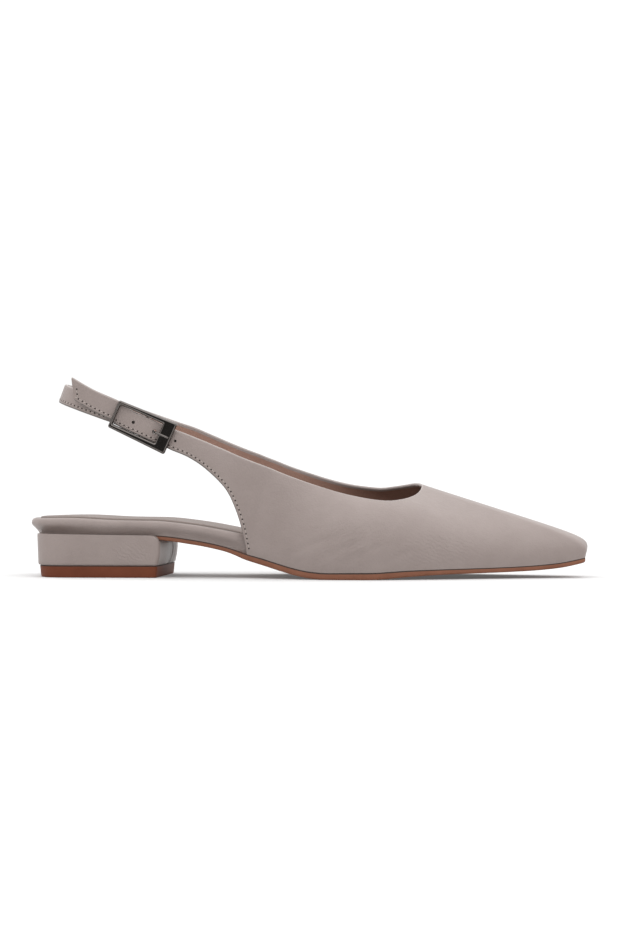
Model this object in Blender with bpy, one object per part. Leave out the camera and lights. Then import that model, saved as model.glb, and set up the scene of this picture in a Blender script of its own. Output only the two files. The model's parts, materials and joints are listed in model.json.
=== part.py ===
"""Sling back flat, right shoe: pointed square toe, low block heel, buckled heel strap.

Everything is modelled in metres. Inside this file the heel seat's back is at x = 0, the toe
points to +X, the outer (lateral) side is -Y and the floor is z = 0. The parent empty then
moves the shoe so that the middle of the heel's tread is the origin.
"""

import math

import bmesh
import bpy
import numpy as np

MM = 0.001

# Sizes of the last
LENGTH = 268 * MM
BALL_WIDTH = 81 * MM
SEAT_WIDTH = 58 * MM
INSTEP_HEIGHT = 40 * MM
HEEL_RISE = 19 * MM
TOE_SPRING = 8.8 * MM
TOE_CORNER = 3.2 * MM
SEAT_ROUNDING = 45 * MM
SEAT_SQUARENESS = 2.4
TOE_END_SHARE = 0.9945

# Sizes of the pieces
GAP = 0.3 * MM
WALL = 1.5 * MM
OUTSOLE_EDGE = 3.2 * MM
OUTSOLE_BEVEL = 0.6 * MM
OUTSOLE_INSET_SHARE = 0.9
FOOTBED_HEIGHT = 7.2 * MM
FOOTBED_UNDERCUT = 3.6 * MM
FOOTBED_DISH = 0.7 * MM
COVERED_DISH_SHARE = 0.5
COVERED_UNDERCUT_SHARE = 0.2
SOCK_THICKNESS = 0.5 * MM
SOCK_MARGIN = 2.8 * MM
SOCK_MARGIN_COVERED = 0.5 * MM

# Sizes of the heel
HEEL_SETBACK = 5.4 * MM
HEEL_LENGTH = 60.5 * MM
HEEL_WIDTH = 56 * MM
HEEL_BACK_CORNER = 12 * MM
HEEL_BREAST_CORNER = 1.8 * MM
HEEL_TAPER = 0.4 * MM
HEEL_REBATE = 2.4 * MM
LIFT_HEIGHT = 5.6 * MM
LIFT_INSET = 0.7 * MM
LIFT_FRONT_INSET = 1.3 * MM
LIFT_TAPER = 0.5 * MM
LIFT_EDGE = 0.4 * MM

# Sizes of the strap and its buckle
STRAP_WIDTH = 9.6 * MM
HEEL_STRAP_WIDTH = 9.4 * MM
LOOP_WIDTH = 52 * MM
LOOP_DEPTH = 30.2 * MM
LOOP_SQUARENESS = 2.4
LOOP_SLOPE = 0.352
LOOP_TILT = math.radians(20)
BUCKLE_LENGTH = 30 * MM
BUCKLE_HEIGHT = 15.0 * MM
BUCKLE_FLARE = 0.07
BUCKLE_THICKNESS = 2 * MM
BUCKLE_CORNER = 1.0 * MM
BUCKLE_TILT = math.radians(24)
PLATE_WIDTH = 6.2 * MM
KEEPER_WIDTH = 1.6 * MM
WINDOW_MARGIN = 0.3 * MM
WINDOW_CORNER = 0.8 * MM
BAR_RADIUS = 0.6 * MM
BAR_DEPTH = 3.2 * MM
LUG_WIDTH = 1.6 * MM
LUG_OVERHANG = 0.25 * MM
LUG_INSET = 0.2 * MM
PRONG_RADIUS = 0.5 * MM
PRONG_WIDTH = 1.2 * MM
PRONG_HOLE = 6.3 * MM
HOLE_PITCH = 10.9 * MM
HOLE_RADIUS = 1.0 * MM
FOLD_LENGTH = 11 * MM

# Counts of facets
RIB_SEGMENTS = 12
LOOP_RIBS = 26
SEAT_POINTS = 9
SIDE_POINTS = 27
TOE_POINTS = 5
CAP_COLUMNS = 4
TUBE_SIDES = 10
EYE_SIDES = 14
BACK_CORNER_POINTS = 7
BREAST_CORNER_POINTS = 4
BUCKLE_CORNER_POINTS = 5
WINDOW_CORNER_POINTS = 3
RIB_SAMPLES = 121

LATERAL = -1
MEDIAL = 1
TINY = 1e-9

# Colours as linear values
TAUPE = (0.38, 0.33, 0.30)
SOLE_BROWN = (0.22, 0.10, 0.06)
LIFT_BROWN = (0.14, 0.047, 0.027)
GUNMETAL = (0.06, 0.055, 0.05)

# Roughness of the finishes
LEATHER_ROUGHNESS = 0.45
SOCK_ROUGHNESS = 0.55
RUBBER_ROUGHNESS = 0.6
METAL_ROUGHNESS = 0.2


def table(columns, *rows):
    """A table as one array for each named column."""
    values = np.array(rows, dtype=float)
    return {name: values[:, index] for index, name in enumerate(columns.split())}


# The sole's line along the foot. Stations are shares of LENGTH, rise a share of HEEL_RISE,
# spring a share of TOE_SPRING and edge a share of OUTSOLE_EDGE.
SOLE_LINE = table(
    "station rise spring edge",
    (0.00, 1.000, 0.00, 0.55),
    (0.23, 0.955, 0.00, 0.60),
    (0.30, 0.835, 0.00, 0.70),
    (0.358, 0.670, 0.00, 0.70),
    (0.401, 0.450, 0.00, 0.92),
    (0.435, 0.310, 0.00, 1.00),
    (0.468, 0.175, 0.00, 1.00),
    (0.493, 0.085, 0.00, 1.00),
    (0.518, 0.025, 0.00, 1.00),
    (0.545, 0.000, 0.00, 1.00),
    (0.615, 0.000, 0.00, 1.05),
    (0.690, 0.000, 0.16, 0.92),
    (0.750, 0.000, 0.26, 0.78),
    (0.840, 0.000, 0.335, 0.74),
    (0.900, 0.000, 0.41, 0.75),
    (0.950, 0.000, 0.55, 0.76),
    (0.980, 0.000, 0.73, 0.74),
    (1.000, 0.000, 0.89, 0.66),
)

# The last's plan, from the seat to the toe. Each row is a share of half the seat's width
# or of half the ball's width, on the lateral and on the medial side.
PLAN = table(
    "station seat_lateral seat_medial ball_lateral ball_medial",
    (0.205, 1.00, 1.00, 0.000, 0.000),
    (0.261, 0.98, 0.95, 0.000, 0.000),
    (0.336, 0.97, 0.86, 0.000, 0.000),
    (0.4015, 0.00, 0.00, 0.716, 0.568),
    (0.429, 0.00, 0.00, 0.765, 0.593),
    (0.470, 0.00, 0.00, 0.864, 0.667),
    (0.515, 0.00, 0.00, 0.963, 0.765),
    (0.560, 0.00, 0.00, 1.025, 0.864),
    (0.608, 0.00, 0.00, 1.037, 0.951),
    (0.664, 0.00, 0.00, 0.975, 0.975),
    (0.720, 0.00, 0.00, 0.852, 0.914),
    (0.776, 0.00, 0.00, 0.716, 0.802),
    (0.840, 0.00, 0.00, 0.556, 0.654),
    (0.907, 0.00, 0.00, 0.395, 0.494),
    (0.963, 0.00, 0.00, 0.284, 0.383),
    (1.000, 0.00, 0.00, 0.215, 0.325),
)

# The footbed's thickness as a share of FOOTBED_HEIGHT: thick under the arch, thin in front.
FOOTBED = table(
    "station height",
    (0.00, 0.95),
    (0.09, 1.04),
    (0.18, 0.93),
    (0.26, 0.95),
    (0.345, 1.03),
    (0.40, 1.18),
    (0.45, 1.20),
    (0.50, 1.00),
    (0.56, 0.66),
    (0.64, 0.46),
    (0.80, 0.42),
    (1.00, 0.40),
)

# The footbed's edge, from its underside up: the undercut and the rounding as shares of
# FOOTBED_UNDERCUT, the level as a share of its height.
FOOTBED_EDGE = table(
    "undercut level",
    (1.00, 0.00),
    (0.88, 0.12),
    (0.50, 0.34),
    (0.12, 0.52),
    (0.00, 0.66),
    (0.06, 0.84),
    (0.22, 0.95),
    (0.42, 1.00),
)

# The outsole's edge from its underside up: bevel as a share of OUTSOLE_BEVEL, level of its
# thickness
OUTSOLE_PROFILE = ((1.0, 0.0), (0.0, 0.3), (0.0, 1.0))

# The vamp's ribs on each side, from the cut-out's foot to the toe. Foot and top_x are shares
# of LENGTH, top_out and bulge of half the BALL_WIDTH, top_rise of INSTEP_HEIGHT above the
# feather line. Along and lift place the shoulder between foot and top, fullness pulls to it.
VAMP_COLUMNS = "foot top_x top_out top_rise along bulge lift fullness ribs"
VAMP_LATERAL = table(
    VAMP_COLUMNS,
    (0.4015, 0.4425, 0.746, 1.094, 0.49, 0.140, 0.51, 0.5, 2),
    (0.429, 0.4627, 0.760, 1.078, 0.50, 0.140, 0.55, 0.6, 3),
    (0.470, 0.500, 0.778, 1.049, 0.45, 0.135, 0.60, 0.75, 3),
    (0.515, 0.537, 0.790, 0.998, 0.40, 0.130, 0.68, 0.9, 3),
    (0.560, 0.567, 0.790, 0.939, 0.30, 0.125, 0.74, 1.0, 3),
    (0.608, 0.598, 0.790, 0.888, 0.33, 0.120, 0.75, 1.0, 4),
    (0.664, 0.629, 0.765, 0.850, 0.20, 0.120, 0.72, 1.0, 4),
    (0.720, 0.653, 0.691, 0.831, 0.15, 0.110, 0.69, 1.0, 4),
    (0.776, 0.674, 0.568, 0.839, 0.08, 0.095, 0.58, 1.1, 4),
    (0.840, 0.689, 0.420, 0.864, 0.03, 0.080, 0.46, 1.2, 4),
    (0.907, 0.6985, 0.260, 0.900, -0.01, 0.060, 0.39, 1.5, 4),
    (0.963, 0.7032, 0.135, 0.942, -0.02, 0.050, 0.305, 1.9, 4),
)
VAMP_MEDIAL = table(
    VAMP_COLUMNS,
    (0.4050, 0.431, 0.699, 1.158, 0.49, 0.120, 0.51, 0.5, 2),
    (0.429, 0.455, 0.716, 1.140, 0.50, 0.120, 0.55, 0.6, 3),
    (0.470, 0.496, 0.741, 1.118, 0.45, 0.115, 0.60, 0.75, 3),
    (0.515, 0.532, 0.741, 1.080, 0.40, 0.110, 0.66, 0.9, 3),
    (0.560, 0.563, 0.741, 1.034, 0.30, 0.105, 0.70, 1.0, 3),
    (0.608, 0.597, 0.728, 0.997, 0.33, 0.100, 0.72, 1.0, 4),
    (0.664, 0.625, 0.667, 0.980, 0.20, 0.100, 0.70, 1.0, 4),
    (0.720, 0.647, 0.556, 0.988, 0.15, 0.095, 0.67, 1.0, 4),
    (0.776, 0.670, 0.450, 1.001, 0.08, 0.085, 0.56, 1.1, 4),
    (0.840, 0.6865, 0.325, 1.012, 0.03, 0.070, 0.46, 1.2, 4),
    (0.907, 0.6965, 0.215, 1.010, -0.01, 0.055, 0.385, 1.5, 4),
    (0.963, 0.7010, 0.118, 1.001, -0.02, 0.045, 0.305, 1.9, 4),
)

# The ribs at the toe's two corners and its middle. Top_y is a share of half the BALL_WIDTH,
# reach one of LENGTH: how far the shoulder stands past the toe's edge.
TOE_COLUMNS = "top_x top_y top_rise reach lift fullness"
TOE_RIBS = table(
    TOE_COLUMNS,
    (0.7042, -0.065, 0.966, 0.0092, 0.255, 2.6),
    (0.7045, 0.000, 0.982, 0.0134, 0.255, 4.2),
    (0.7035, 0.060, 0.994, 0.0092, 0.255, 2.6),
)
TOE_RIB_COUNT = 4

# The quarter's ribs above the cut-out, from the strap down to the cut-out's foot. The x of
# both ends is a share of LENGTH, the distance out a share of half the LOOP_WIDTH near the
# strap and of half the BALL_WIDTH below it, the rise a share of INSTEP_HEIGHT.
QUARTER_COLUMNS = "foot_x foot_loop foot_ball foot_rise top_x top_loop top_ball top_rise ribs"
QUARTER_LATERAL = table(
    QUARTER_COLUMNS,
    (0.2668, 1.089, 0.000, 1.028, 0.2828, 1.075, 0.000, 1.266, 2),
    (0.2985, 1.109, 0.000, 0.968, 0.3172, 1.090, 0.000, 1.212, 2),
    (0.3321, 0.000, 0.735, 0.855, 0.3586, 0.000, 0.715, 1.158, 2),
    (0.3638, 0.000, 0.752, 0.690, 0.3881, 0.000, 0.728, 1.131, 2),
    (0.3806, 0.000, 0.756, 0.505, 0.4142, 0.000, 0.738, 1.112, 2),
    (0.3918, 0.000, 0.748, 0.300, 0.4291, 0.000, 0.743, 1.101, 2),
)
QUARTER_MEDIAL = table(
    QUARTER_COLUMNS,
    (0.2690, 0.997, 0.000, 1.095, 0.2817, 1.012, 0.000, 1.332, 2),
    (0.3000, 1.005, 0.000, 1.015, 0.3134, 1.028, 0.000, 1.274, 2),
    (0.3345, 0.000, 0.650, 0.880, 0.3470, 0.000, 0.670, 1.223, 2),
    (0.3665, 0.000, 0.645, 0.700, 0.3806, 0.000, 0.680, 1.195, 2),
    (0.3840, 0.000, 0.628, 0.510, 0.4011, 0.000, 0.690, 1.186, 2),
    (0.3950, 0.000, 0.604, 0.300, 0.4160, 0.000, 0.695, 1.171, 2),
)

# The tail of the buckled strap, from its slanted end to the keeper, out in shares of half
# the LOOP_WIDTH.
TAIL = table(
    "foot_x foot_rise top_x top_rise out ribs",
    (0.0939, 1.585, 0.0896, 1.861, 1.012, 3),
    (0.1290, 1.455, 0.1290, 1.716, 1.053, 3),
)

# The buckled strap's outer face inside the buckle: u along the strap as a share of half the
# BUCKLE_LENGTH, hump as a share of how far it rises over the bar, low and high as shares of
# STRAP_WIDTH to its two edges.
BUCKLED = table(
    "u hump low high ribs",
    (-0.97, 0.00, 0.37, 0.665, 2),
    (-0.72, 0.10, 0.485, 0.555, 3),
    (-0.30, 0.80, 0.495, 0.50, 3),
    (0.00, 1.00, 0.49, 0.50, 3),
    (0.28, 0.80, 0.50, 0.50, 3),
    (0.58, 0.06, 0.50, 0.50, 2),
    (0.98, 0.00, 0.49, 0.50, 2),
)

# The frame's edge and its window's, from the underside up, as shares of BUCKLE_THICKNESS
BUCKLE_PROFILE = ((0.12, 0.0), (0.0, 0.12), (0.0, 0.65), (0.1, 0.9), (0.25, 1.0))
WINDOW_PROFILE = ((0.0, -0.5), (0.0, 0.7), (0.15, 1.1))

# The prong leaves its eye at shares of the eye's radius along and up from the bar, with a lift in
# prong radii. Under the strap its places are shares of PRONG_HOLE with a lift in prong radii. Its
# bend lies that many prong radii past the hole, at shares of its height on the plate. Its tip is
# given as shares of half the BUCKLE_LENGTH, with a lift and a thickness in prong radii.
PRONG_EYE_REACH = 0.80
PRONG_EYE_SHARE = 0.55
PRONG_EYE_LIFT = -0.2
PRONG_UNDER = ((0.72, 0.0), (0.95, 1.0))
PRONG_BEND = ((0.8, 0.60), (3.0, 0.93), (5.5, 1.0))
PRONG_TIP = ((0.88, 0.0, 1.0), (0.93, -0.15, 0.6))

# Places of the buckle and of the heel loop: x as a share of LENGTH, rise of INSTEP_HEIGHT,
# out of half the LOOP_WIDTH
BUCKLE_X_SHARE = 0.2161
BUCKLE_RISE_SHARE = 1.290
BUCKLE_OUT_SHARE = 1.089
LOOP_X_SHARE = 0.168
LOOP_RISE_SHARE = 1.4325
LOOP_FRONT_SHARES = (0.245, 0.205)

# The strap's end at the bar: where it passes under the keeper and comes up to the bar as
# shares of half the BUCKLE_LENGTH, its rise there as a share of the loop's radius, how far it
# turns either way, and where it lies flat again as a share of FOLD_LENGTH
KEEPER_PASS = 0.90
BAR_APPROACH = 0.50
APPROACH_RISE = 0.2
LOOP_TURN = math.radians(105)
LOOP_TURN_RIBS = 8
FOLD_BEND_SHARE = 0.3

# How full a quarter is between its ends, as a share of its height
QUARTER_FULLNESS = 0.06


def pchip_slopes(knots, values):
    """Slopes at the knots of a smooth curve that never overshoots them."""
    rates = np.diff(values) / np.diff(knots)
    slopes = np.zeros(len(knots))
    slopes[0] = rates[0]
    slopes[-1] = rates[-1]
    for index in range(1, len(knots) - 1):
        before, after = rates[index - 1], rates[index]
        if before * after > 0:
            slopes[index] = 2 * before * after / (before + after)
    return slopes


def hermite(knots, values, left, right, place):
    """Value at one place of the curve with the given slopes to either side of each knot."""
    index = int(np.clip(np.searchsorted(knots, place) - 1, 0, len(knots) - 2))
    span = knots[index + 1] - knots[index]
    t = (place - knots[index]) / span
    start = (1 + 2 * t) * (1 - t) ** 2 * values[index] + t * (1 - t) ** 2 * span * right[index]
    end = t * t * (3 - 2 * t) * values[index + 1] + t * t * (t - 1) * span * left[index + 1]
    return start + end


def read(rows, name, share):
    """A column of a table at one share of the length."""
    knots = rows["station"]
    slopes = pchip_slopes(knots, rows[name])
    return float(hermite(knots, rows[name], slopes, slopes, np.clip(share, knots[0], knots[-1])))


def tread_height(x):
    """Height of the outsole's underside above the floor."""
    share = x / LENGTH
    return HEEL_RISE * read(SOLE_LINE, "rise", share) + TOE_SPRING * read(SOLE_LINE, "spring", share)


def feather_height(x):
    """Height of the feather line, where the outsole's upper face ends."""
    return tread_height(x) + OUTSOLE_EDGE * read(SOLE_LINE, "edge", x / LENGTH)


def plan_knots(side):
    """Stations of the plan in metres and the half widths there."""
    name = "lateral" if side == LATERAL else "medial"
    seat = PLAN["seat_" + name] * SEAT_WIDTH / 2
    ball = PLAN["ball_" + name] * BALL_WIDTH / 2
    return PLAN["station"] * LENGTH, seat + ball


def half_width(side, x):
    """Distance from the shoe's axis to the feather line, in front of the seat's rounding."""
    knots, widths = plan_knots(side)
    slopes = pchip_slopes(knots, widths)
    slopes[-1] = slopes[-2]
    return float(hermite(knots, widths, slopes, slopes, np.clip(x, knots[0], knots[-1])))


def seat_half_width(side, x):
    """The same distance with the seat's back rounded off."""
    rounding = max(0.0, 1 - x / SEAT_ROUNDING)
    return half_width(side, x) * (1 - rounding ** SEAT_SQUARENESS) ** (1 / SEAT_SQUARENESS)


def toe_corner(side):
    """The toe corner's arc: where it starts along x, its start angle and its centre."""
    end = LENGTH * TOE_END_SHARE
    slope = (half_width(side, end - TOE_CORNER) - half_width(side, end - 2 * TOE_CORNER)) / TOE_CORNER
    angle = math.atan(-slope)
    centre_x = end - TOE_CORNER
    start = centre_x + TOE_CORNER * math.sin(angle)
    centre_out = half_width(side, start) - TOE_CORNER * math.cos(angle)
    return start, angle, centre_x, centre_out


def toe_middle():
    """Sideways place of the middle of the toe's edge."""
    return (toe_corner(MEDIAL)[3] - toe_corner(LATERAL)[3]) / 2


def toe_reach(side):
    """Reach of the toe's middle: along x to the corner, and from there along the edge."""
    start, angle, _, centre_out = toe_corner(side)
    return start + TOE_CORNER * (math.pi / 2 - angle) + centre_out - side * toe_middle()


def feather_point(side, reach):
    """Plan point of the feather line at a reach from the seat's back."""
    start, angle, centre_x, centre_out = toe_corner(side)
    if reach <= start:
        return np.array((reach, side * half_width(side, reach)))
    turned = angle + (reach - start) / TOE_CORNER
    if turned < math.pi / 2:
        return np.array((
            centre_x + TOE_CORNER * math.sin(turned),
            side * (centre_out + TOE_CORNER * math.cos(turned)),
        ))
    past = (turned - math.pi / 2) * TOE_CORNER
    return np.array((centre_x + TOE_CORNER, side * (centre_out - past)))


def side_points(side, back):
    """Plan points of one side from a back station to just before the toe's middle."""
    points = []
    if back < SEAT_ROUNDING:
        for index in range(1, SEAT_POINTS):
            angle = math.pi / 2 * index / SEAT_POINTS
            x = SEAT_ROUNDING * (1 - math.cos(angle) ** (2 / SEAT_SQUARENESS))
            points.append(np.array((x, side * seat_half_width(side, x))))
    else:
        points.append(feather_point(side, back))
    start, angle = toe_corner(side)[:2]
    for reach in np.linspace(SEAT_ROUNDING, start, SIDE_POINTS):
        if reach > back + GAP:
            points.append(feather_point(side, reach))
    arc = TOE_CORNER * (math.pi / 2 - angle)
    for reach in start + np.linspace(0, arc, TOE_POINTS)[1:]:
        points.append(feather_point(side, reach))
    half_edge = toe_reach(side) - start - arc
    points.append(feather_point(side, start + arc + half_edge / 2))
    return points


def plan_loop(back=0.0):
    """The closed plan: heel middle, lateral side, toe middle, medial side."""
    toe = np.array((LENGTH * TOE_END_SHARE, toe_middle()))
    heel = np.array((back, 0.0))
    lateral = side_points(LATERAL, back)
    medial = side_points(MEDIAL, back)
    return np.array([heel] + lateral + [toe] + medial[::-1])


def loop_normals(loop):
    """Outward normals of a closed plan that runs heel, -Y side, toe, +Y side."""
    tangents = np.roll(loop, -1, axis=0) - np.roll(loop, 1, axis=0)
    normals = np.stack((tangents[:, 1], -tangents[:, 0]), axis=1)
    return normals / np.linalg.norm(normals, axis=1)[:, None]


def smoothstep(low, high, value):
    """0 below low, 1 above high, and smooth between."""
    t = min(1.0, max(0.0, (value - low) / (high - low)))
    return t * t * (3 - 2 * t)


COVER_START = 0.375
COVER_END = 0.400


def covered(x):
    """0 where the footbed shows behind the cut-outs, 1 where the upper covers it."""
    return smoothstep(COVER_START * LENGTH, COVER_END * LENGTH, x)


def ring(loop, normals, inset, height):
    """A ring of points at an inset from the plan and at a height, both given per x."""
    points = []
    for (x, y), (nx, ny) in zip(loop, normals):
        depth = inset(x)
        px, py = x - nx * depth, y - ny * depth
        points.append((px, py, height(px)))
    return points


def add_material(name, colour, roughness, metallic=0.0):
    """A plain Principled material."""
    material = bpy.data.materials.new(name)
    material.use_nodes = True
    shader = material.node_tree.nodes["Principled BSDF"]
    shader.inputs["Base Color"].default_value = (*colour, 1.0)
    shader.inputs["Roughness"].default_value = roughness
    shader.inputs["Metallic"].default_value = metallic
    return material


def add_object(name, points, faces, material, parent, smooth_angle=40):
    """One named object with its own material, faces outward."""
    mesh = bpy.data.meshes.new(name)
    mesh.from_pydata([tuple(map(float, point)) for point in points], [], faces)
    work = bmesh.new()
    work.from_mesh(mesh)
    bmesh.ops.recalc_face_normals(work, faces=work.faces)
    if work.calc_volume(signed=True) < 0:
        bmesh.ops.reverse_faces(work, faces=work.faces)
    work.to_mesh(mesh)
    work.free()
    mesh.shade_smooth()
    mesh.set_sharp_from_angle(angle=math.radians(smooth_angle))
    mesh.materials.append(material)
    piece = bpy.data.objects.new(name, mesh)
    piece.parent = parent
    bpy.context.scene.collection.objects.link(piece)
    return piece


def add_cutter(name, points, faces, parent):
    """A cutter that the build leaves out."""
    cutter = add_object(name, points, faces, None, parent)
    cutter.hide_render = True
    cutter.display_type = "WIRE"
    return cutter


def combine(piece, other, operation):
    """An exact Boolean of a piece with a helper object."""
    modifier = piece.modifiers.new(other.name, "BOOLEAN")
    modifier.operation = operation
    modifier.object = other
    modifier.solver = "EXACT"


def stacked_faces(rings, size):
    """Faces between rings that lie one above the other."""
    faces = []
    for level in range(rings - 1):
        for index in range(size):
            following = (index + 1) % size
            base, above = level * size, (level + 1) * size
            faces.append((base + index, base + following, above + following, above + index))
    return faces


def add_cap(points, faces, first, size, dish, columns=CAP_COLUMNS):
    """A cap across one ring, in strips between its lateral and medial halves."""
    half = size // 2
    rows = []
    for index in range(1, half):
        left, right = first + index, first + size - index
        row = [left]
        start, end = np.array(points[left]), np.array(points[right])
        for column in range(1, columns):
            share = column / columns
            place = start + (end - start) * share
            place[2] -= dish(place[0]) * 4 * share * (1 - share)
            row.append(len(points))
            points.append(tuple(place))
        row.append(right)
        rows.append(row)
    heel, toe = first, first + half
    for left, right in zip(rows[0], rows[0][1:]):
        faces.append((heel, left, right))
    for row, following in zip(rows, rows[1:]):
        for index in range(columns):
            faces.append((row[index], following[index], following[index + 1], row[index + 1]))
    for left, right in zip(rows[-1], rows[-1][1:]):
        faces.append((left, toe, right))


def flat(_):
    """No dish."""
    return 0.0


def add_layered(name, rings, material, parent, top_dish=flat):
    """A closed solid from stacked rings with a cap at either end."""
    size = len(rings[0])
    points = [point for level in rings for point in level]
    faces = stacked_faces(len(rings), size)
    add_cap(points, faces, 0, size, flat)
    add_cap(points, faces, (len(rings) - 1) * size, size, top_dish)
    return add_object(name, points, faces, material, parent)


def footbed_top(x):
    """Height of the footbed's upper face at its edge."""
    return feather_height(x) + GAP + FOOTBED_HEIGHT * read(FOOTBED, "height", x / LENGTH)


def footbed_dish(x):
    """How far the footbed's middle lies below its edge."""
    return FOOTBED_DISH * (1 - COVERED_DISH_SHARE * covered(x))


def covered_inset(x):
    """Inset of the pieces that lie inside the upper."""
    return covered(x) * (WALL + GAP)


def undercut_depth(x):
    """How far the footbed's edge is undercut: less where the upper covers it."""
    return FOOTBED_UNDERCUT * (1 - (1 - COVERED_UNDERCUT_SHARE) * covered(x))


def make_footbed(parent):
    """The wrapped footbed: full length, with a thick rounded edge that shows at the back."""
    loop = plan_loop()
    normals = loop_normals(loop)
    rings = []
    for undercut, level in zip(FOOTBED_EDGE["undercut"], FOOTBED_EDGE["level"]):
        def inset(x, undercut=undercut):
            return covered_inset(x) + undercut * undercut_depth(x)

        def height(x, level=level):
            bottom = feather_height(x) + GAP
            return bottom + (footbed_top(x) - bottom) * level

        rings.append(ring(loop, normals, inset, height))
    material = add_material("footbed_leather", TAUPE, LEATHER_ROUGHNESS)
    return add_layered("footbed", rings, material, parent, footbed_dish)


def make_sock(parent):
    """The sock lining that lies on the footbed, a margin in from its edge."""
    loop = plan_loop()
    normals = loop_normals(loop)

    def inset(x):
        margin = SOCK_MARGIN + (SOCK_MARGIN_COVERED - SOCK_MARGIN) * covered(x)
        return covered_inset(x) + FOOTBED_EDGE["undercut"][-1] * undercut_depth(x) + margin

    def bottom(x):
        return footbed_top(x) + GAP

    def top(x):
        return bottom(x) + SOCK_THICKNESS

    rings = [ring(loop, normals, inset, bottom), ring(loop, normals, inset, top)]
    size = len(loop)
    points = [point for level in rings for point in level]
    faces = stacked_faces(2, size)
    add_cap(points, faces, 0, size, footbed_dish)
    add_cap(points, faces, size, size, footbed_dish)
    material = add_material("sock_leather", TAUPE, SOCK_ROUGHNESS)
    return add_object("sock", points, faces, material, parent)


def outsole_back():
    """Where the outsole starts, let into the heel's front."""
    return HEEL_SETBACK + HEEL_LENGTH - HEEL_REBATE + GAP


def make_outsole(parent):
    """The thin outsole from the heel's front to the toe, with a flat spot under the ball."""
    loop = plan_loop(outsole_back())
    normals = loop_normals(loop)
    normals[0] = (-1.0, 0.0)
    normals[1] = (0.0, LATERAL)
    normals[-1] = (0.0, MEDIAL)

    def shown(x):
        return OUTSOLE_INSET_SHARE * FOOTBED_UNDERCUT * (1 - covered(x))

    rings = []
    for bevel, level in OUTSOLE_PROFILE:
        def inset(x, bevel=bevel):
            return shown(x) + bevel * OUTSOLE_BEVEL

        def height(x, level=level):
            return tread_height(x) + (feather_height(x) - tread_height(x)) * level

        level_ring = ring(loop, normals, inset, height)
        level_ring[0] = (loop[0][0], 0.0, height(loop[0][0]))
        rings.append(level_ring)
    material = add_material("outsole_rubber", SOLE_BROWN, RUBBER_ROUGHNESS)
    return add_layered("outsole", rings, material, parent)


def heel_loop(front, inset, height):
    """A ring of the heel: a rounded back, straight sides and a straight breast."""
    back = HEEL_SETBACK + inset
    half = HEEL_WIDTH / 2 - inset
    middle = (back + front) / 2
    corners = (
        (back + HEEL_BACK_CORNER, HEEL_BACK_CORNER, 180, 90, BACK_CORNER_POINTS),
        (front - HEEL_BREAST_CORNER, HEEL_BREAST_CORNER, 90, 0, BREAST_CORNER_POINTS),
    )
    side = []
    for x, radius, start, end, count in corners:
        for angle in np.radians(np.linspace(start, end, count)):
            side.append((x + radius * math.cos(angle), half - radius + radius * math.sin(angle)))
    side.insert(BACK_CORNER_POINTS, (middle, half))
    lateral = [(x, -out) for x, out in side]
    medial = side[::-1]
    loop = [(back, 0.0)] + lateral + [(front, 0.0)] + medial
    return [(x, y, height(x)) for x, y in loop]


def make_heel_block(parent):
    """The covered heel block, with a rebate that takes the outsole's end."""
    front = HEEL_SETBACK + HEEL_LENGTH
    shoulder = front - HEEL_REBATE

    def base(_):
        return LIFT_HEIGHT + GAP

    def rebate(x):
        return tread_height(x) - GAP

    def top(x):
        return feather_height(x)

    rings = [
        heel_loop(front, HEEL_TAPER, base),
        heel_loop(front, 0.0, rebate),
        heel_loop(shoulder, 0.0, rebate),
        heel_loop(shoulder, 0.0, top),
    ]
    material = add_material("heel_leather", TAUPE, LEATHER_ROUGHNESS)
    return add_layered("heel_block", rings, material, parent)


def make_top_lift(parent):
    """The top lift under the heel, the flat face that stands on the floor."""
    front = HEEL_SETBACK + HEEL_LENGTH - LIFT_FRONT_INSET
    inset = HEEL_TAPER + LIFT_INSET

    def level(z):
        return lambda _: z

    rings = [
        heel_loop(front - LIFT_TAPER - LIFT_EDGE, inset + LIFT_TAPER + LIFT_EDGE, level(0.0)),
        heel_loop(front - LIFT_TAPER, inset + LIFT_TAPER, level(LIFT_EDGE)),
        heel_loop(front, inset, level(LIFT_HEIGHT)),
    ]
    material = add_material("lift_rubber", LIFT_BROWN, RUBBER_ROUGHNESS)
    return add_layered("top_lift", rings, material, parent)


def last_point(x, y, rise):
    """A point at a rise above the feather line, as a share of the instep's height."""
    return np.array((x, y, feather_height(x) + rise * INSTEP_HEIGHT))


def buckle_axes():
    """The buckle's centre under its frame, and its axes along, across and outward."""
    x = BUCKLE_X_SHARE * LENGTH
    centre = last_point(x, LATERAL * BUCKLE_OUT_SHARE * LOOP_WIDTH / 2, BUCKLE_RISE_SHARE)
    along = np.array((math.cos(BUCKLE_TILT), 0.0, -math.sin(BUCKLE_TILT)))
    across = np.array((math.sin(BUCKLE_TILT), 0.0, math.cos(BUCKLE_TILT)))
    outward = np.array((0.0, -1.0, 0.0))
    return centre, along, across, outward


def buckle_point(u, v, n):
    """A point in the buckle's own frame."""
    centre, along, across, outward = buckle_axes()
    return centre + u * along + v * across + n * outward


class Rib:
    """One rib of the upper: a conic from its foot to its top, pulled to a shoulder."""

    def __init__(self, foot, shoulder, top, fullness, count, reach=None, corner=False):
        self.foot = np.array(foot)
        self.shoulder = np.array(shoulder)
        self.top = np.array(top)
        self.fullness = fullness
        self.count = int(count)
        self.reach = reach
        self.corner = corner


def strip_rib(foot, top, count):
    """A rib straight across the strap."""
    foot, top = np.array(foot), np.array(top)
    return Rib(foot, (foot + top) / 2, top, 1.0, count)


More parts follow.
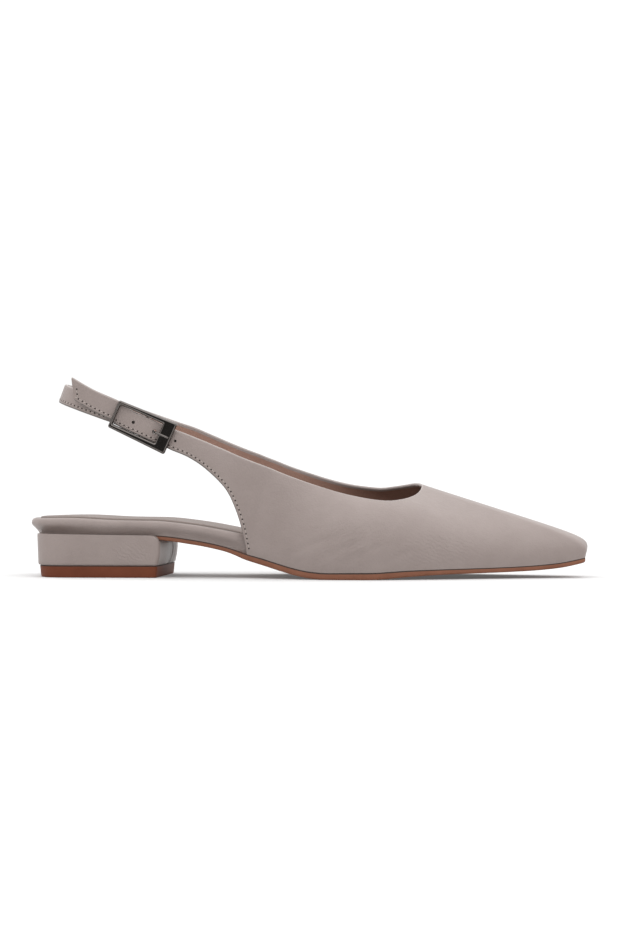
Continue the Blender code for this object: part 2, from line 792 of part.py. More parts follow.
def tail_ribs():
    """Ribs of the strap's free tail."""
    ribs = []
    for index in range(len(TAIL["out"])):
        y = LATERAL * TAIL["out"][index] * LOOP_WIDTH / 2
        foot = last_point(TAIL["foot_x"][index] * LENGTH, y, TAIL["foot_rise"][index])
        top = last_point(TAIL["top_x"][index] * LENGTH, y, TAIL["top_rise"][index])
        ribs.append(strip_rib(foot, top, TAIL["ribs"][index]))
    return ribs


def hump_height():
    """How far the buckled strap rises over the bar and the loop around it."""
    return -BAR_DEPTH + loop_radius() + GAP + WALL + GAP


def loop_radius():
    """Outer radius of the strap's loop around the bar."""
    return BAR_RADIUS + GAP + WALL


def eye_radius():
    """Outer radius of the prong's eye round the bar."""
    return BAR_RADIUS + GAP + PRONG_WIDTH / 2


def buckled_face(u):
    """Height of the buckled strap's outer face over the frame's underside."""
    knots = BUCKLED["u"] * BUCKLE_LENGTH / 2
    slopes = pchip_slopes(knots, BUCKLED["hump"])
    hump = hermite(knots, BUCKLED["hump"], slopes, slopes, np.clip(u, knots[0], knots[-1]))
    return -GAP + float(hump) * hump_height()


def buckled_ribs():
    """Ribs of the strap where it passes through the buckle, over the bar."""
    ribs = []
    for index, u in enumerate(BUCKLED["u"]):
        n = -GAP + BUCKLED["hump"][index] * hump_height()
        along = u * BUCKLE_LENGTH / 2
        foot = buckle_point(along, -BUCKLED["low"][index] * STRAP_WIDTH, n)
        top = buckle_point(along, BUCKLED["high"][index] * STRAP_WIDTH, n)
        ribs.append(strip_rib(foot, top, BUCKLED["ribs"][index]))
    return ribs


def quarter_ribs(rows, side):
    """Ribs of a quarter above the cut-out."""
    ribs = []
    for index in range(len(rows["ribs"])):
        ends = []
        for end in ("foot", "top"):
            x = rows[end + "_x"][index] * LENGTH
            out = rows[end + "_loop"][index] * LOOP_WIDTH + rows[end + "_ball"][index] * BALL_WIDTH
            ends.append(last_point(x, side * out / 2, rows[end + "_rise"][index]))
        foot, top = ends
        shoulder = (foot + top) / 2
        shoulder[1] += side * QUARTER_FULLNESS * abs(top[2] - foot[2])
        ribs.append(Rib(foot, shoulder, top, 1.0, rows["ribs"][index]))
    return ribs


def vamp_ribs(rows, side):
    """Ribs of one side of the vamp, from the cut-out's foot to the toe."""
    ribs = []
    for index in range(len(rows["foot"])):
        reach = rows["foot"][index] * LENGTH
        plan = feather_point(side, reach)
        foot = np.array((plan[0], plan[1], feather_height(plan[0]) + GAP))
        top_y = side * rows["top_out"][index] * BALL_WIDTH / 2
        top = last_point(rows["top_x"][index] * LENGTH, top_y, rows["top_rise"][index])
        shoulder = foot.copy()
        shoulder[0] += rows["along"][index] * (top[0] - foot[0])
        shoulder[1] += side * rows["bulge"][index] * BALL_WIDTH / 2
        shoulder[2] += rows["lift"][index] * (top[2] - foot[2])
        ribs.append(Rib(foot, shoulder, top, rows["fullness"][index], rows["ribs"][index],
                        reach, corner=index == 0))
    return ribs


def toe_ribs():
    """Ribs at the toe's lateral corner, middle and medial corner."""
    ribs = []
    for index, side in enumerate((LATERAL, 0, MEDIAL)):
        if side:
            start, angle = toe_corner(side)[:2]
            reach = start + TOE_CORNER * (math.pi / 2 - angle) / 2
            plan = feather_point(side, reach)
        else:
            reach = toe_reach(LATERAL)
            plan = feather_point(LATERAL, reach)
        foot = np.array((plan[0], plan[1], feather_height(plan[0]) + GAP))
        top_y = TOE_RIBS["top_y"][index] * BALL_WIDTH / 2
        top = last_point(TOE_RIBS["top_x"][index] * LENGTH, top_y, TOE_RIBS["top_rise"][index])
        shoulder = foot.copy()
        shoulder[0] += TOE_RIBS["reach"][index] * LENGTH
        shoulder[1] += side * TOE_RIBS["reach"][index] * LENGTH / 2
        shoulder[2] += TOE_RIBS["lift"][index] * (top[2] - foot[2])
        ribs.append(Rib(foot, shoulder, top, TOE_RIBS["fullness"][index], TOE_RIB_COUNT, reach))
    return ribs


def heel_strap_ribs():
    """Ribs of the strap's run round the heel, from the medial quarter to the buckle."""
    ribs = []
    middle = LOOP_X_SHARE * LENGTH
    tilt = np.array((math.sin(LOOP_TILT), 0.0, math.cos(LOOP_TILT))) * HEEL_STRAP_WIDTH / 2
    level = last_point(middle, 0.0, LOOP_RISE_SHARE)[2]

    def centre(x, y):
        return np.array((x, y, level - LOOP_SLOPE * (x - middle)))

    for share in LOOP_FRONT_SHARES:
        place = centre(share * LENGTH, LOOP_WIDTH / 2)
        ribs.append(strip_rib(place - tilt, place + tilt, 2))
    for index in range(LOOP_RIBS + 1):
        angle = math.pi * index / LOOP_RIBS
        forward = abs(math.sin(angle)) ** (2 / LOOP_SQUARENESS)
        outward = abs(math.cos(angle)) ** (2 / LOOP_SQUARENESS)
        y = math.copysign(outward, math.cos(angle)) * LOOP_WIDTH / 2
        place = centre(middle - LOOP_DEPTH * forward, y)
        ribs.append(strip_rib(place - tilt, place + tilt, 1))
    return ribs


def bar_loop_ribs():
    """Ribs of the strap's end: under the keeper, round the bar and back beneath itself."""
    radius = loop_radius()
    under = -GAP - WALL - GAP
    fold = under - WALL - GAP - WALL
    half = BUCKLE_LENGTH / 2
    path = [(-KEEPER_PASS * half, under), (-BAR_APPROACH * half, under + APPROACH_RISE * radius)]
    for angle in np.linspace(LOOP_TURN, -LOOP_TURN, LOOP_TURN_RIBS):
        path.append((radius * math.cos(angle), -BAR_DEPTH + radius * math.sin(angle)))
    path.append((-FOLD_BEND_SHARE * FOLD_LENGTH, fold))
    path.append((-FOLD_LENGTH, fold))
    ribs = []
    for u, n in path:
        foot = buckle_point(u, -HEEL_STRAP_WIDTH / 2, n)
        top = buckle_point(u, HEEL_STRAP_WIDTH / 2, n)
        ribs.append(strip_rib(foot, top, 2))
    return ribs


def rib_rows():
    """All the upper's ribs in order, from the strap's tail round the toe to the bar's loop."""
    lateral = tail_ribs() + buckled_ribs() + quarter_ribs(QUARTER_LATERAL, LATERAL)
    lateral += vamp_ribs(VAMP_LATERAL, LATERAL)
    toe = toe_ribs()
    medial = quarter_ribs(QUARTER_MEDIAL, MEDIAL) + vamp_ribs(VAMP_MEDIAL, MEDIAL)
    far_side = toe_reach(LATERAL) + toe_reach(MEDIAL)
    for rib in medial + [toe[-1]]:
        if rib.reach is not None:
            rib.reach = far_side - rib.reach
    return lateral + toe + medial[::-1] + heel_strap_ribs() + bar_loop_ribs()


def blend_rows(rows):
    """Smooth ribs between the given ones; only the feet at the cut-outs make a corner."""
    middles = np.array([(rib.foot + rib.top) / 2 for rib in rows])
    ends = np.array([rib.top for rib in rows])
    steps = np.linalg.norm(np.diff(middles, axis=0), axis=1)
    steps += np.linalg.norm(np.diff(ends, axis=0), axis=1)
    knots = np.concatenate(([0.0], np.cumsum(np.sqrt(steps))))
    values = np.array([
        np.concatenate((rib.foot, rib.shoulder, rib.top, (rib.fullness,))) for rib in rows
    ])
    rates = np.diff(values, axis=0) / np.diff(knots)[:, None]
    left = np.zeros_like(values)
    right = np.zeros_like(values)
    left[0] = right[0] = rates[0]
    left[-1] = right[-1] = rates[-1]
    for index in range(1, len(rows) - 1):
        before = knots[index] - knots[index - 1]
        after = knots[index + 1] - knots[index]
        mean = (rates[index - 1] * after + rates[index] * before) / (before + after)
        left[index] = right[index] = mean
        if rows[index].corner:
            left[index][:3] = rates[index - 1][:3]
            right[index][:3] = rates[index][:3]
    ribs = []
    for index in range(len(rows) - 1):
        start, end = rows[index], rows[index + 1]
        on_feather = start.reach is not None and end.reach is not None
        for step in range(start.count):
            share = step / start.count
            place = knots[index] + (knots[index + 1] - knots[index]) * share
            value = hermite(knots, values, left, right, max(place, knots[index] + TINY))
            rib = Rib(value[0:3], value[3:6], value[6:9], value[9], 1)
            if on_feather:
                rib.reach = start.reach + (end.reach - start.reach) * share
                seat_on_feather(rib)
            ribs.append(rib)
    ribs.append(rows[-1])
    return ribs


def seat_on_feather(rib):
    """Set a rib's foot exactly on the feather line."""
    turn = toe_reach(LATERAL)
    if rib.reach <= turn:
        plan = feather_point(LATERAL, rib.reach)
    else:
        plan = feather_point(MEDIAL, turn + toe_reach(MEDIAL) - rib.reach)
    moved = np.array((plan[0], plan[1], feather_height(plan[0]) + GAP)) - rib.foot
    rib.foot = rib.foot + moved
    rib.shoulder = rib.shoulder + moved / 2


def rib_points(rib):
    """Points along one rib, spread half by angle and half by length."""
    fine = np.linspace(0, 1, RIB_SAMPLES)
    weights = np.stack(((1 - fine) ** 2, 2 * fine * (1 - fine) * rib.fullness, fine ** 2))
    ends = np.stack((rib.foot, rib.shoulder, rib.top))
    line = (weights.T @ ends) / weights.sum(axis=0)[:, None]
    lengths = np.concatenate(([0.0], np.cumsum(np.linalg.norm(np.diff(line, axis=0), axis=1))))
    measure = (lengths / lengths[-1] + fine) / 2
    wanted = np.linspace(0, 1, RIB_SEGMENTS + 1)
    return np.stack([np.interp(wanted, measure, line[:, axis]) for axis in range(3)], axis=1)


def grid_normals(grid):
    """Outward normals of a grid of ribs."""
    along = np.gradient(grid, axis=0)
    up = np.gradient(grid, axis=1)
    normals = np.cross(along, up)
    return normals / np.linalg.norm(normals, axis=2)[:, :, None]


def walled_solid(outer, inner):
    """Points and faces of the wall between an outer and an inner grid."""
    ribs, rows = outer.shape[:2]
    points = list(outer.reshape(-1, 3)) + list(inner.reshape(-1, 3))
    shift = ribs * rows

    def at(rib, row):
        return rib * rows + row

    faces = []
    for rib in range(ribs - 1):
        for row in range(rows - 1):
            corners = (at(rib, row), at(rib + 1, row), at(rib + 1, row + 1), at(rib, row + 1))
            faces.append(corners)
            faces.append(tuple(corner + shift for corner in corners[::-1]))
        for row, turned in ((0, False), (rows - 1, True)):
            rim = (at(rib, row), at(rib, row) + shift, at(rib + 1, row) + shift, at(rib + 1, row))
            faces.append(rim[::-1] if turned else rim)
    for row in range(rows - 1):
        for rib, turned in ((0, False), (ribs - 1, True)):
            end = (at(rib, row), at(rib, row + 1), at(rib, row + 1) + shift, at(rib, row) + shift)
            faces.append(end[::-1] if turned else end)
    return points, faces


def box(low, high, place):
    """Points and faces of a box between two corners in another frame."""
    points = []
    for n in (low[2], high[2]):
        for u, v in ((low[0], low[1]), (high[0], low[1]), (high[0], high[1]), (low[0], high[1])):
            points.append(place(u, v, n))
    faces = [(0, 3, 2, 1), (4, 5, 6, 7), (0, 1, 5, 4), (1, 2, 6, 5), (2, 3, 7, 6), (3, 0, 4, 7)]
    return points, faces


def rod(path, sides=TUBE_SIDES):
    """Points and faces of a round rod along points with a radius each, in (u, v, n)."""
    centres = [np.array(point) for point, _ in path]
    points, faces = [], []
    for index, (_, radius) in enumerate(path):
        ahead = centres[min(index + 1, len(path) - 1)]
        behind = centres[max(index - 1, 0)]
        forward = (ahead - behind) / np.linalg.norm(ahead - behind)
        helper = np.array((0.0, 1.0, 0.0)) if abs(forward[1]) < 0.9 else np.array((1.0, 0.0, 0.0))
        first = np.cross(forward, helper)
        first /= np.linalg.norm(first)
        second = np.cross(forward, first)
        for side in range(sides):
            angle = 2 * math.pi * side / sides
            offset = first * math.cos(angle) + second * math.sin(angle)
            points.append(centres[index] + offset * radius)
    faces = stacked_faces(len(path), sides)
    faces.append(tuple(range(sides))[::-1])
    faces.append(tuple(range((len(path) - 1) * sides, len(path) * sides)))
    return [buckle_point(*point) for point in points], faces


def make_upper(parent):
    """Vamp, quarters and heel strap as one hollow wall, with the buckle's holes."""
    ribs = blend_rows(rib_rows())
    outer = np.array([rib_points(rib) for rib in ribs])
    inner = outer - grid_normals(outer) * WALL
    for index, rib in enumerate(ribs):
        if rib.reach is not None:
            inner[index, 0, 2] = outer[index, 0, 2]
    points, faces = walled_solid(outer, inner)
    material = add_material("upper_leather", TAUPE, LEATHER_ROUGHNESS)
    upper = add_object("upper", points, faces, material, parent, smooth_angle=50)
    for name, step in (("spare_hole", -1), ("prong_hole", 0), ("outer_hole", 1)):
        u = PRONG_HOLE + step * HOLE_PITCH
        face = buckled_face(u)
        ends = (((u, 0.0, face - WALL - GAP / 2), HOLE_RADIUS), ((u, 0.0, face + WALL), HOLE_RADIUS))
        combine(upper, add_cutter(name, *rod(ends), parent), "DIFFERENCE")
    half_slot = PRONG_WIDTH / 2 + GAP
    eye_clearance = loop_radius() + GAP
    slot = box((-eye_radius() - GAP, -half_slot, -BAR_DEPTH - eye_clearance),
               (eye_clearance, half_slot, -BAR_DEPTH + loop_radius() + GAP / 2), buckle_point)
    combine(upper, add_cutter("prong_slot", *slot, parent), "DIFFERENCE")
    return upper


def rounded_ring(low, high, radius, height, count, flare=0.0):
    """A rounded rectangle in the buckle's plane, higher towards the plate by a flare."""
    corners = (
        (high[0] - radius, high[1] - radius, 0),
        (low[0] + radius, high[1] - radius, 90),
        (low[0] + radius, low[1] + radius, 180),
        (high[0] - radius, low[1] + radius, 270),
    )
    points = []
    for u, v, start in corners:
        for angle in np.radians(np.linspace(start, start + 90, count)):
            along, across = u + radius * math.cos(angle), v + radius * math.sin(angle)
            grown = across * (1 + flare * along / (BUCKLE_LENGTH / 2))
            points.append(buckle_point(along, grown, height))
    return points


def ring_solid(rings):
    """Points and faces of stacked rings with flat ends."""
    size = len(rings[0])
    points = [point for level in rings for point in level]
    faces = stacked_faces(len(rings), size)
    faces.append(tuple(range(size))[::-1])
    faces.append(tuple(range((len(rings) - 1) * size, len(rings) * size)))
    return points, faces


def make_buckle_frame(parent):
    """The buckle's frame: a wide plate, a thin keeper bar, and the sunk bar in the middle."""
    half_u, half_v = BUCKLE_LENGTH / 2, BUCKLE_HEIGHT / 2
    rings = []
    for inset, level in BUCKLE_PROFILE:
        edge = inset * BUCKLE_THICKNESS
        rings.append(rounded_ring((-half_u + edge, -half_v + edge), (half_u - edge, half_v - edge),
                                  BUCKLE_CORNER - edge, level * BUCKLE_THICKNESS,
                                  BUCKLE_CORNER_POINTS, BUCKLE_FLARE))
    material = add_material("gunmetal", GUNMETAL, METAL_ROUGHNESS, 1.0)
    frame = add_object("buckle_frame", *ring_solid(rings), material, parent)
    low = np.array((-half_u + KEEPER_WIDTH, -STRAP_WIDTH / 2 - WINDOW_MARGIN))
    high = np.array((half_u - PLATE_WIDTH, STRAP_WIDTH / 2 + WINDOW_MARGIN))
    window = []
    for growth, level in WINDOW_PROFILE:
        grow = growth * BUCKLE_THICKNESS
        window.append(rounded_ring(low - grow, high + grow, WINDOW_CORNER, level * BUCKLE_THICKNESS,
                                   WINDOW_CORNER_POINTS))
    combine(frame, add_cutter("buckle_window", *ring_solid(window), parent), "DIFFERENCE")
    lug_inside = STRAP_WIDTH / 2 + WINDOW_MARGIN + LUG_INSET
    for name, side in (("lower_lug", -1), ("upper_lug", 1)):
        edges = sorted((side * lug_inside, side * (lug_inside + LUG_WIDTH)))
        lug = box((-LUG_WIDTH / 2, edges[0], -BAR_DEPTH - BAR_RADIUS - LUG_OVERHANG),
                  (LUG_WIDTH / 2, edges[1], BUCKLE_THICKNESS / 2), buckle_point)
        combine(frame, add_cutter(name, *lug, parent), "UNION")
    end = lug_inside + LUG_WIDTH / 2
    bar = rod((((0.0, -end, -BAR_DEPTH), BAR_RADIUS), ((0.0, end, -BAR_DEPTH), BAR_RADIUS)))
    combine(frame, add_cutter("centre_bar", *bar, parent), "UNION")
    return frame


def make_buckle_prong(parent):
    """The prong: an eye round the bar, a bend up through the hole and a tip on the plate."""
    eye = eye_radius()
    points, faces = [], []
    for v in (-PRONG_WIDTH / 2, PRONG_WIDTH / 2):
        for radius in (BAR_RADIUS + GAP, eye):
            for side in range(EYE_SIDES):
                angle = 2 * math.pi * side / EYE_SIDES
                across = radius * math.cos(angle)
                out = -BAR_DEPTH + radius * math.sin(angle)
                points.append(buckle_point(across, v, out))
    for side in range(EYE_SIDES):
        following = (side + 1) % EYE_SIDES
        for first, second in ((0, 2), (2, 3), (3, 1), (1, 0)):
            start, end = first * EYE_SIDES, second * EYE_SIDES
            faces.append((start + side, start + following, end + following, end + side))
    material = add_material("gunmetal_prong", GUNMETAL, METAL_ROUGHNESS, 1.0)
    prong = add_object("buckle_prong", points, faces, material, parent)
    under = -BAR_DEPTH + PRONG_EYE_SHARE * eye
    rest = BUCKLE_THICKNESS + GAP + PRONG_RADIUS
    leave = under + PRONG_EYE_LIFT * PRONG_RADIUS
    path = [((PRONG_EYE_REACH * eye, 0.0, leave), PRONG_RADIUS)]
    for share, lift in PRONG_UNDER:
        path.append(((share * PRONG_HOLE, 0.0, under + lift * PRONG_RADIUS), PRONG_RADIUS))
    path.append(((PRONG_HOLE, 0.0, -WALL), PRONG_RADIUS))
    path.append(((PRONG_HOLE, 0.0, GAP), PRONG_RADIUS))
    for past, share in PRONG_BEND:
        path.append(((PRONG_HOLE + past * PRONG_RADIUS, 0.0, share * rest), PRONG_RADIUS))
    for share, lift, radius in PRONG_TIP:
        path.append(((share * BUCKLE_LENGTH / 2, 0.0, rest + lift * PRONG_RADIUS), radius * PRONG_RADIUS))
    combine(prong, add_cutter("prong_rod", *rod(path), parent), "UNION")
    return prong


def remove_all():
    """An empty scene to start from."""
    for item in list(bpy.data.objects):
        bpy.data.objects.remove(item, do_unlink=True)


def make_shoe():
    """Every piece of the shoe under one empty, with the heel's tread at the origin."""
    remove_all()
    shoe = bpy.data.objects.new("shoe", None)
    bpy.context.scene.collection.objects.link(shoe)
    make_outsole(shoe)
    make_top_lift(shoe)
    make_heel_block(shoe)
    make_footbed(shoe)
    make_sock(shoe)
    make_upper(shoe)
    make_buckle_frame(shoe)
    make_buckle_prong(shoe)
    shoe.location.x = -(HEEL_SETBACK + HEEL_LENGTH / 2)


make_shoe()
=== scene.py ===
import json
import math

import bmesh
import bpy
import numpy as np
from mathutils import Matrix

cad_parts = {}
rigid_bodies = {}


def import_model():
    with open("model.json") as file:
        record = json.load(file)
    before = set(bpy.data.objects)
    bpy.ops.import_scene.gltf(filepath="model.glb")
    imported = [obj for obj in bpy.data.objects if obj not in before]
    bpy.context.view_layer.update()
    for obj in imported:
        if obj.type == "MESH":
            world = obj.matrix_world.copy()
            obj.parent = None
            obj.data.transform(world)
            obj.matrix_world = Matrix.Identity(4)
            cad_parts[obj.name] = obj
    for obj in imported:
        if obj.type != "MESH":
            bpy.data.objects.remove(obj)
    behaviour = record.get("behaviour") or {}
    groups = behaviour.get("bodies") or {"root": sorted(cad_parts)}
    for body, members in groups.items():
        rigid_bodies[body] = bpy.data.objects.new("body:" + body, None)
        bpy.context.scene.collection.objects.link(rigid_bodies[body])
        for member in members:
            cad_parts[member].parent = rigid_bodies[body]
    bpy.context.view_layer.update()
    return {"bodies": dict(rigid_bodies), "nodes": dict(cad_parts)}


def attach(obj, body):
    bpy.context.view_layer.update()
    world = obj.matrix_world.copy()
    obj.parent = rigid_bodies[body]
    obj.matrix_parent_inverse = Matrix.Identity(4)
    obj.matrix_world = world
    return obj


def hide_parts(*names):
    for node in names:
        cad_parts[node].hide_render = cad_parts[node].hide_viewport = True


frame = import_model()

# The looks of a sling back flat, right shoe. Inside this file the heel seat's back is at x = 0,
# the toe points to +X, the outer (lateral) side is -Y and the floor is z = 0. Every mesh is
# moved by SHOE_SHIFT at the end, so that the middle of the heel's tread is the origin.

MM = 0.001

# Sizes of the last
LENGTH = 268 * MM
BALL_WIDTH = 81 * MM
SEAT_WIDTH = 58 * MM
INSTEP_HEIGHT = 40 * MM
HEEL_RISE = 19 * MM
TOE_SPRING = 8.8 * MM
TOE_CORNER = 3.2 * MM
SEAT_ROUNDING = 45 * MM
SEAT_SQUARENESS = 2.4
TOE_END_SHARE = 0.9945

# Sizes of the pieces
GAP = 0.3 * MM
WALL = 1.5 * MM
OUTSOLE_EDGE = 3.2 * MM
OUTSOLE_BEVEL = 0.6 * MM
OUTSOLE_INSET_SHARE = 0.9
FOOTBED_HEIGHT = 7.2 * MM
FOOTBED_UNDERCUT = 3.6 * MM
FOOTBED_DISH = 0.7 * MM
COVERED_DISH_SHARE = 0.5
COVERED_UNDERCUT_SHARE = 0.2
SOCK_THICKNESS = 0.5 * MM
SOCK_MARGIN = 2.8 * MM
SOCK_MARGIN_COVERED = 0.5 * MM

# Sizes of the heel
HEEL_SETBACK = 5.4 * MM
HEEL_LENGTH = 60.5 * MM
HEEL_WIDTH = 56 * MM
HEEL_BACK_CORNER = 12 * MM
HEEL_BREAST_CORNER = 1.8 * MM
HEEL_TAPER = 0.4 * MM
HEEL_REBATE = 2.4 * MM
LIFT_HEIGHT = 5.6 * MM
LIFT_INSET = 0.7 * MM
LIFT_FRONT_INSET = 1.3 * MM
LIFT_TAPER = 0.5 * MM
LIFT_EDGE = 0.4 * MM

# Sizes of the strap and its buckle
STRAP_WIDTH = 9.6 * MM
HEEL_STRAP_WIDTH = 9.4 * MM
LOOP_WIDTH = 52 * MM
LOOP_DEPTH = 30.2 * MM
LOOP_SQUARENESS = 2.4
LOOP_SLOPE = 0.352
LOOP_TILT = math.radians(20)
BUCKLE_LENGTH = 30 * MM
BUCKLE_HEIGHT = 15.0 * MM
BUCKLE_FLARE = 0.07
BUCKLE_THICKNESS = 2 * MM
BUCKLE_CORNER = 1.0 * MM
BUCKLE_TILT = math.radians(24)
PLATE_WIDTH = 6.2 * MM
KEEPER_WIDTH = 1.6 * MM
WINDOW_MARGIN = 0.3 * MM
WINDOW_CORNER = 0.8 * MM
BAR_RADIUS = 0.6 * MM
BAR_DEPTH = 3.2 * MM
LUG_WIDTH = 1.6 * MM
LUG_OVERHANG = 0.25 * MM
LUG_INSET = 0.2 * MM
PRONG_RADIUS = 0.5 * MM
PRONG_WIDTH = 1.2 * MM
PRONG_HOLE = 6.3 * MM
HOLE_PITCH = 10.9 * MM
HOLE_RADIUS = 1.0 * MM
FOLD_LENGTH = 11 * MM

# What only the looks use
SHOE_SHIFT = HEEL_SETBACK + HEEL_LENGTH / 2
FOLD_RADIUS = 0.65 * MM
FOLD_WIDTH = 1.1 * MM
HEEL_SEAM = 0.15 * MM
HEEL_HEM_HEIGHT = 1.0 * MM
BREAST_REACH = 4 * MM
LIFT_SKEW = 1.2 * MM
CORNER_RUN = 3.0 * MM
CORNER_FALL = 3.4 * MM
TAB_INSIDE = 26.2 * MM
STITCH_MARGIN = 1.65 * MM
STITCH_PITCH = 2.35 * MM
STITCH_LENGTH = 1.6 * MM
STITCH_RADIUS = 0.2 * MM
STITCH_HOLE = 0.4 * MM
SQUARE_LEAST = 0.3
CORNER_LEAST = 0.25 * MM
SILL = 0.33 * MM
METAL_ROUGHNESS = 0.04
LIFT_TOP_INSET = 0.15 * MM

# The buckle's bars, from the underside up: inset as a share of a bar's width, level of its thickness
FRAME_PROFILE = ((0.05, 0.0), (0.0, 0.06), (0.0, 0.45), (0.03, 0.6), (0.09, 0.75), (0.19, 0.88), (0.32, 0.97),
                 (0.45, 1.0), (0.49, 1.0))

# The strap's holes: step from the prong's hole, depth in walls, size
STRAP_HOLES = ((-1, 1.0, 0.78), (0, 1.0, 1.0), (1, 0.6, 0.6))

# The sock's edge: inset in its thicknesses, level
SOCK_EDGE = ((0.0, 0.0), (0.25, 0.45), (0.8, 0.75), (1.6, 0.93), (2.6, 1.0))

# The heel's hem as shares of its height, the levels of its rings and those of its upper corner
HEEL_HEM = ((0.8, 0.0), (0.35, 0.2), (0.1, 0.55), (0.0, 1.0))
HEEL_SHARES = (0.08, 0.18, 0.3, 0.42, 0.54, 0.64, 0.72, 0.78, 0.83, 0.88, 0.92, 0.95, 0.975, 0.99, 0.9999)
TAB_STEPS = (0.0, 0.05, 0.3, 0.55, 0.78, 0.92, 0.9999)

# The top lift's foot as shares of LIFT_EDGE, and the levels of its rings above it
LIFT_FOOT = ((1.0, 0.0), (0.3, 0.3), (0.0, 1.0))
LIFT_SHARES = (0.2, 0.385, 0.57, 0.755, 0.94)

# A stitch from end to end: place, size and rise. A needle hole, a dark disc of painted shade: its two levels
STITCH_SHAPE = ((0.0, 0.3, -0.4), (0.15, 0.9, 0.1), (0.5, 1.0, 0.3), (0.85, 0.9, 0.1), (1.0, 0.3, -0.4))
HOLE_LEVELS = (-0.5, 0.12)

# How a crease fades in and out along its run, and its ridges' height and place beside the trough
CREASE_FADE = (-0.15, 0.3, 0.7, 1.15)
RIDGE_SHARE = 0.6
RIDGE_PLACE = 1.9

# How the strap's ends are rounded off
END_ANGLES = (math.pi / 4, math.pi / 2.2)
END_LEAST = 0.05

# Patches of fine wrinkles: place and size in metres, slant in degrees, wave in metres, strength
VAMP_PATCHES = (
    ((0.121, -0.036, 0.018), (0.020, 0.03, 0.011), 38.0, 0.0021, 0.16),
    ((0.160, -0.025, 0.013), (0.024, 0.03, 0.011), -28.0, 0.0018, 0.2),
)
HEEL_PATCHES = (
    ((0.0165, -0.028, 0.0115), (0.012, 0.02, 0.006), -34.0, 0.0019, 0.26),
    ((-0.0115, -0.028, 0.0105), (0.004, 0.02, 0.003), 30.0, 0.0014, 0.2),
)

# The leather's grain in waves a metre and depth in metres, and a wrinkled patch's core, bands and depth
PORES = 1100
PORE_DEPTH = 0.00018
WRINKLES = 420
WRINKLE_DEPTH = 0.0005
PATCH_CORE = 0.35
PATCH_DEPTH = 0.0006
BAND_SCALE = 0.314

# The rubber's grain: waves a metre of its colour and of its grain, strength and depth in metres
SOLE_GRAIN = (120, 900, 0.2, 0.0003)
LIFT_GRAIN = (90, 1200, 0.15, 0.0002)

# The photograph's frame and its camera
PHOTO_HEIGHT = 931
FOCAL_PIXELS = 2494.0
SENSOR = 36.0
CAMERA_YAW = math.radians(5.0)
CAMERA_DISTANCE = 1.2
CAMERA_HEIGHT = 53.2 * MM
CAMERA_AIM_X = 135.2 * MM

# Colours as linear values
LEATHER = ((0.232, 0.188, 0.173), (0.262, 0.215, 0.199))
# Painted highlight: the folded top edge of the upper is coloured lighter than the rest of the leather
LEATHER_EDGE_HIGHLIGHT = ((0.29, 0.246, 0.23), (0.325, 0.279, 0.264))
# Painted shade: the lower rims of the upper are coloured darker along the cut-outs and the strap's lower
# edges
CUT_EDGE_SHADE = ((0.13, 0.11, 0.10), (0.155, 0.132, 0.121))
SOCK = ((0.165, 0.128, 0.113), (0.185, 0.146, 0.13))
LINING = ((0.245, 0.138, 0.102), (0.285, 0.165, 0.126))
SOLE_EDGE = ((0.175, 0.070, 0.040), (0.215, 0.090, 0.053))
LIFT_BROWN = ((0.118, 0.031, 0.0125), (0.145, 0.04, 0.0175))
# Painted shade: a dark band at the top of the outsole's edge under the upper and at the top of the top lift
# under the heel
SEAM_SHADE = (0.035, 0.015, 0.009)
GUNMETAL = ((0.115, 0.102, 0.095), (0.145, 0.132, 0.125))
THREAD = (0.36, 0.31, 0.285)
# Painted shade: near-black for the walls of the strap's holes and for the needle holes
HOLE_SHADE = (0.02, 0.013, 0.011)
FLOOR_TONE = (0.58, 0.58, 0.58)
FLOOR_GLOW = 0.09

# The studio: brightness of the surround by height in front of the shoe and behind it, and where
# one turns into the other
FLOOR_REACH = 6.0
SKY_STRENGTH = 2.3
SKY_FRONT = ((0.06, 0.05), (0.2, 0.42), (0.35, 0.62), (0.5, 0.75), (0.7, 0.88), (0.9, 0.95))
SKY_BACK = ((0.3, 0.455), (1.0, 0.95))
SKY_TURN = (-0.15, 0.25)

# Counts of facets
RIB_DETAIL = 4
RIB_SEGMENTS = 40
RIM_STEPS = 5
LOOP_RIBS = 26
SEAT_POINTS = 24
SIDE_POINTS = 110
TOE_POINTS = 12
CAP_COLUMNS = 12
EDGE_RINGS = 22
TUBE_SIDES = 20
EYE_SIDES = 28
BACK_CORNER_POINTS = 12
BREAST_CORNER_POINTS = 8
BREAST_POINTS = 60
LINE_POINTS = 161
OUTLINE_POINTS = 7
END_STEPS = 8
STITCH_SIDES = 6
HOLE_SIDES = 8

LATERAL = -1
MEDIAL = 1
TINY = 1e-9

def table(columns, *rows):
    """A table as one array for each named column."""
    values = np.array(rows, dtype=float)
    return {name: values[:, index] for index, name in enumerate(columns.split())}


# The sole's line along the foot. Stations are shares of LENGTH, rise a share of HEEL_RISE,
# spring a share of TOE_SPRING and edge a share of OUTSOLE_EDGE.
SOLE_LINE = table(
    "station rise spring edge",
    (0.00, 1.000, 0.00, 0.55),
    (0.23, 0.955, 0.00, 0.60),
    (0.30, 0.835, 0.00, 0.70),
    (0.358, 0.670, 0.00, 0.70),
    (0.401, 0.450, 0.00, 0.92),
    (0.435, 0.310, 0.00, 1.00),
    (0.468, 0.175, 0.00, 1.00),
    (0.493, 0.085, 0.00, 1.00),
    (0.518, 0.025, 0.00, 1.00),
    (0.545, 0.000, 0.00, 1.00),
    (0.615, 0.000, 0.00, 1.05),
    (0.690, 0.000, 0.16, 0.92),
    (0.750, 0.000, 0.26, 0.78),
    (0.840, 0.000, 0.335, 0.74),
    (0.900, 0.000, 0.41, 0.75),
    (0.950, 0.000, 0.55, 0.76),
    (0.980, 0.000, 0.73, 0.74),
    (1.000, 0.000, 0.89, 0.66),
)

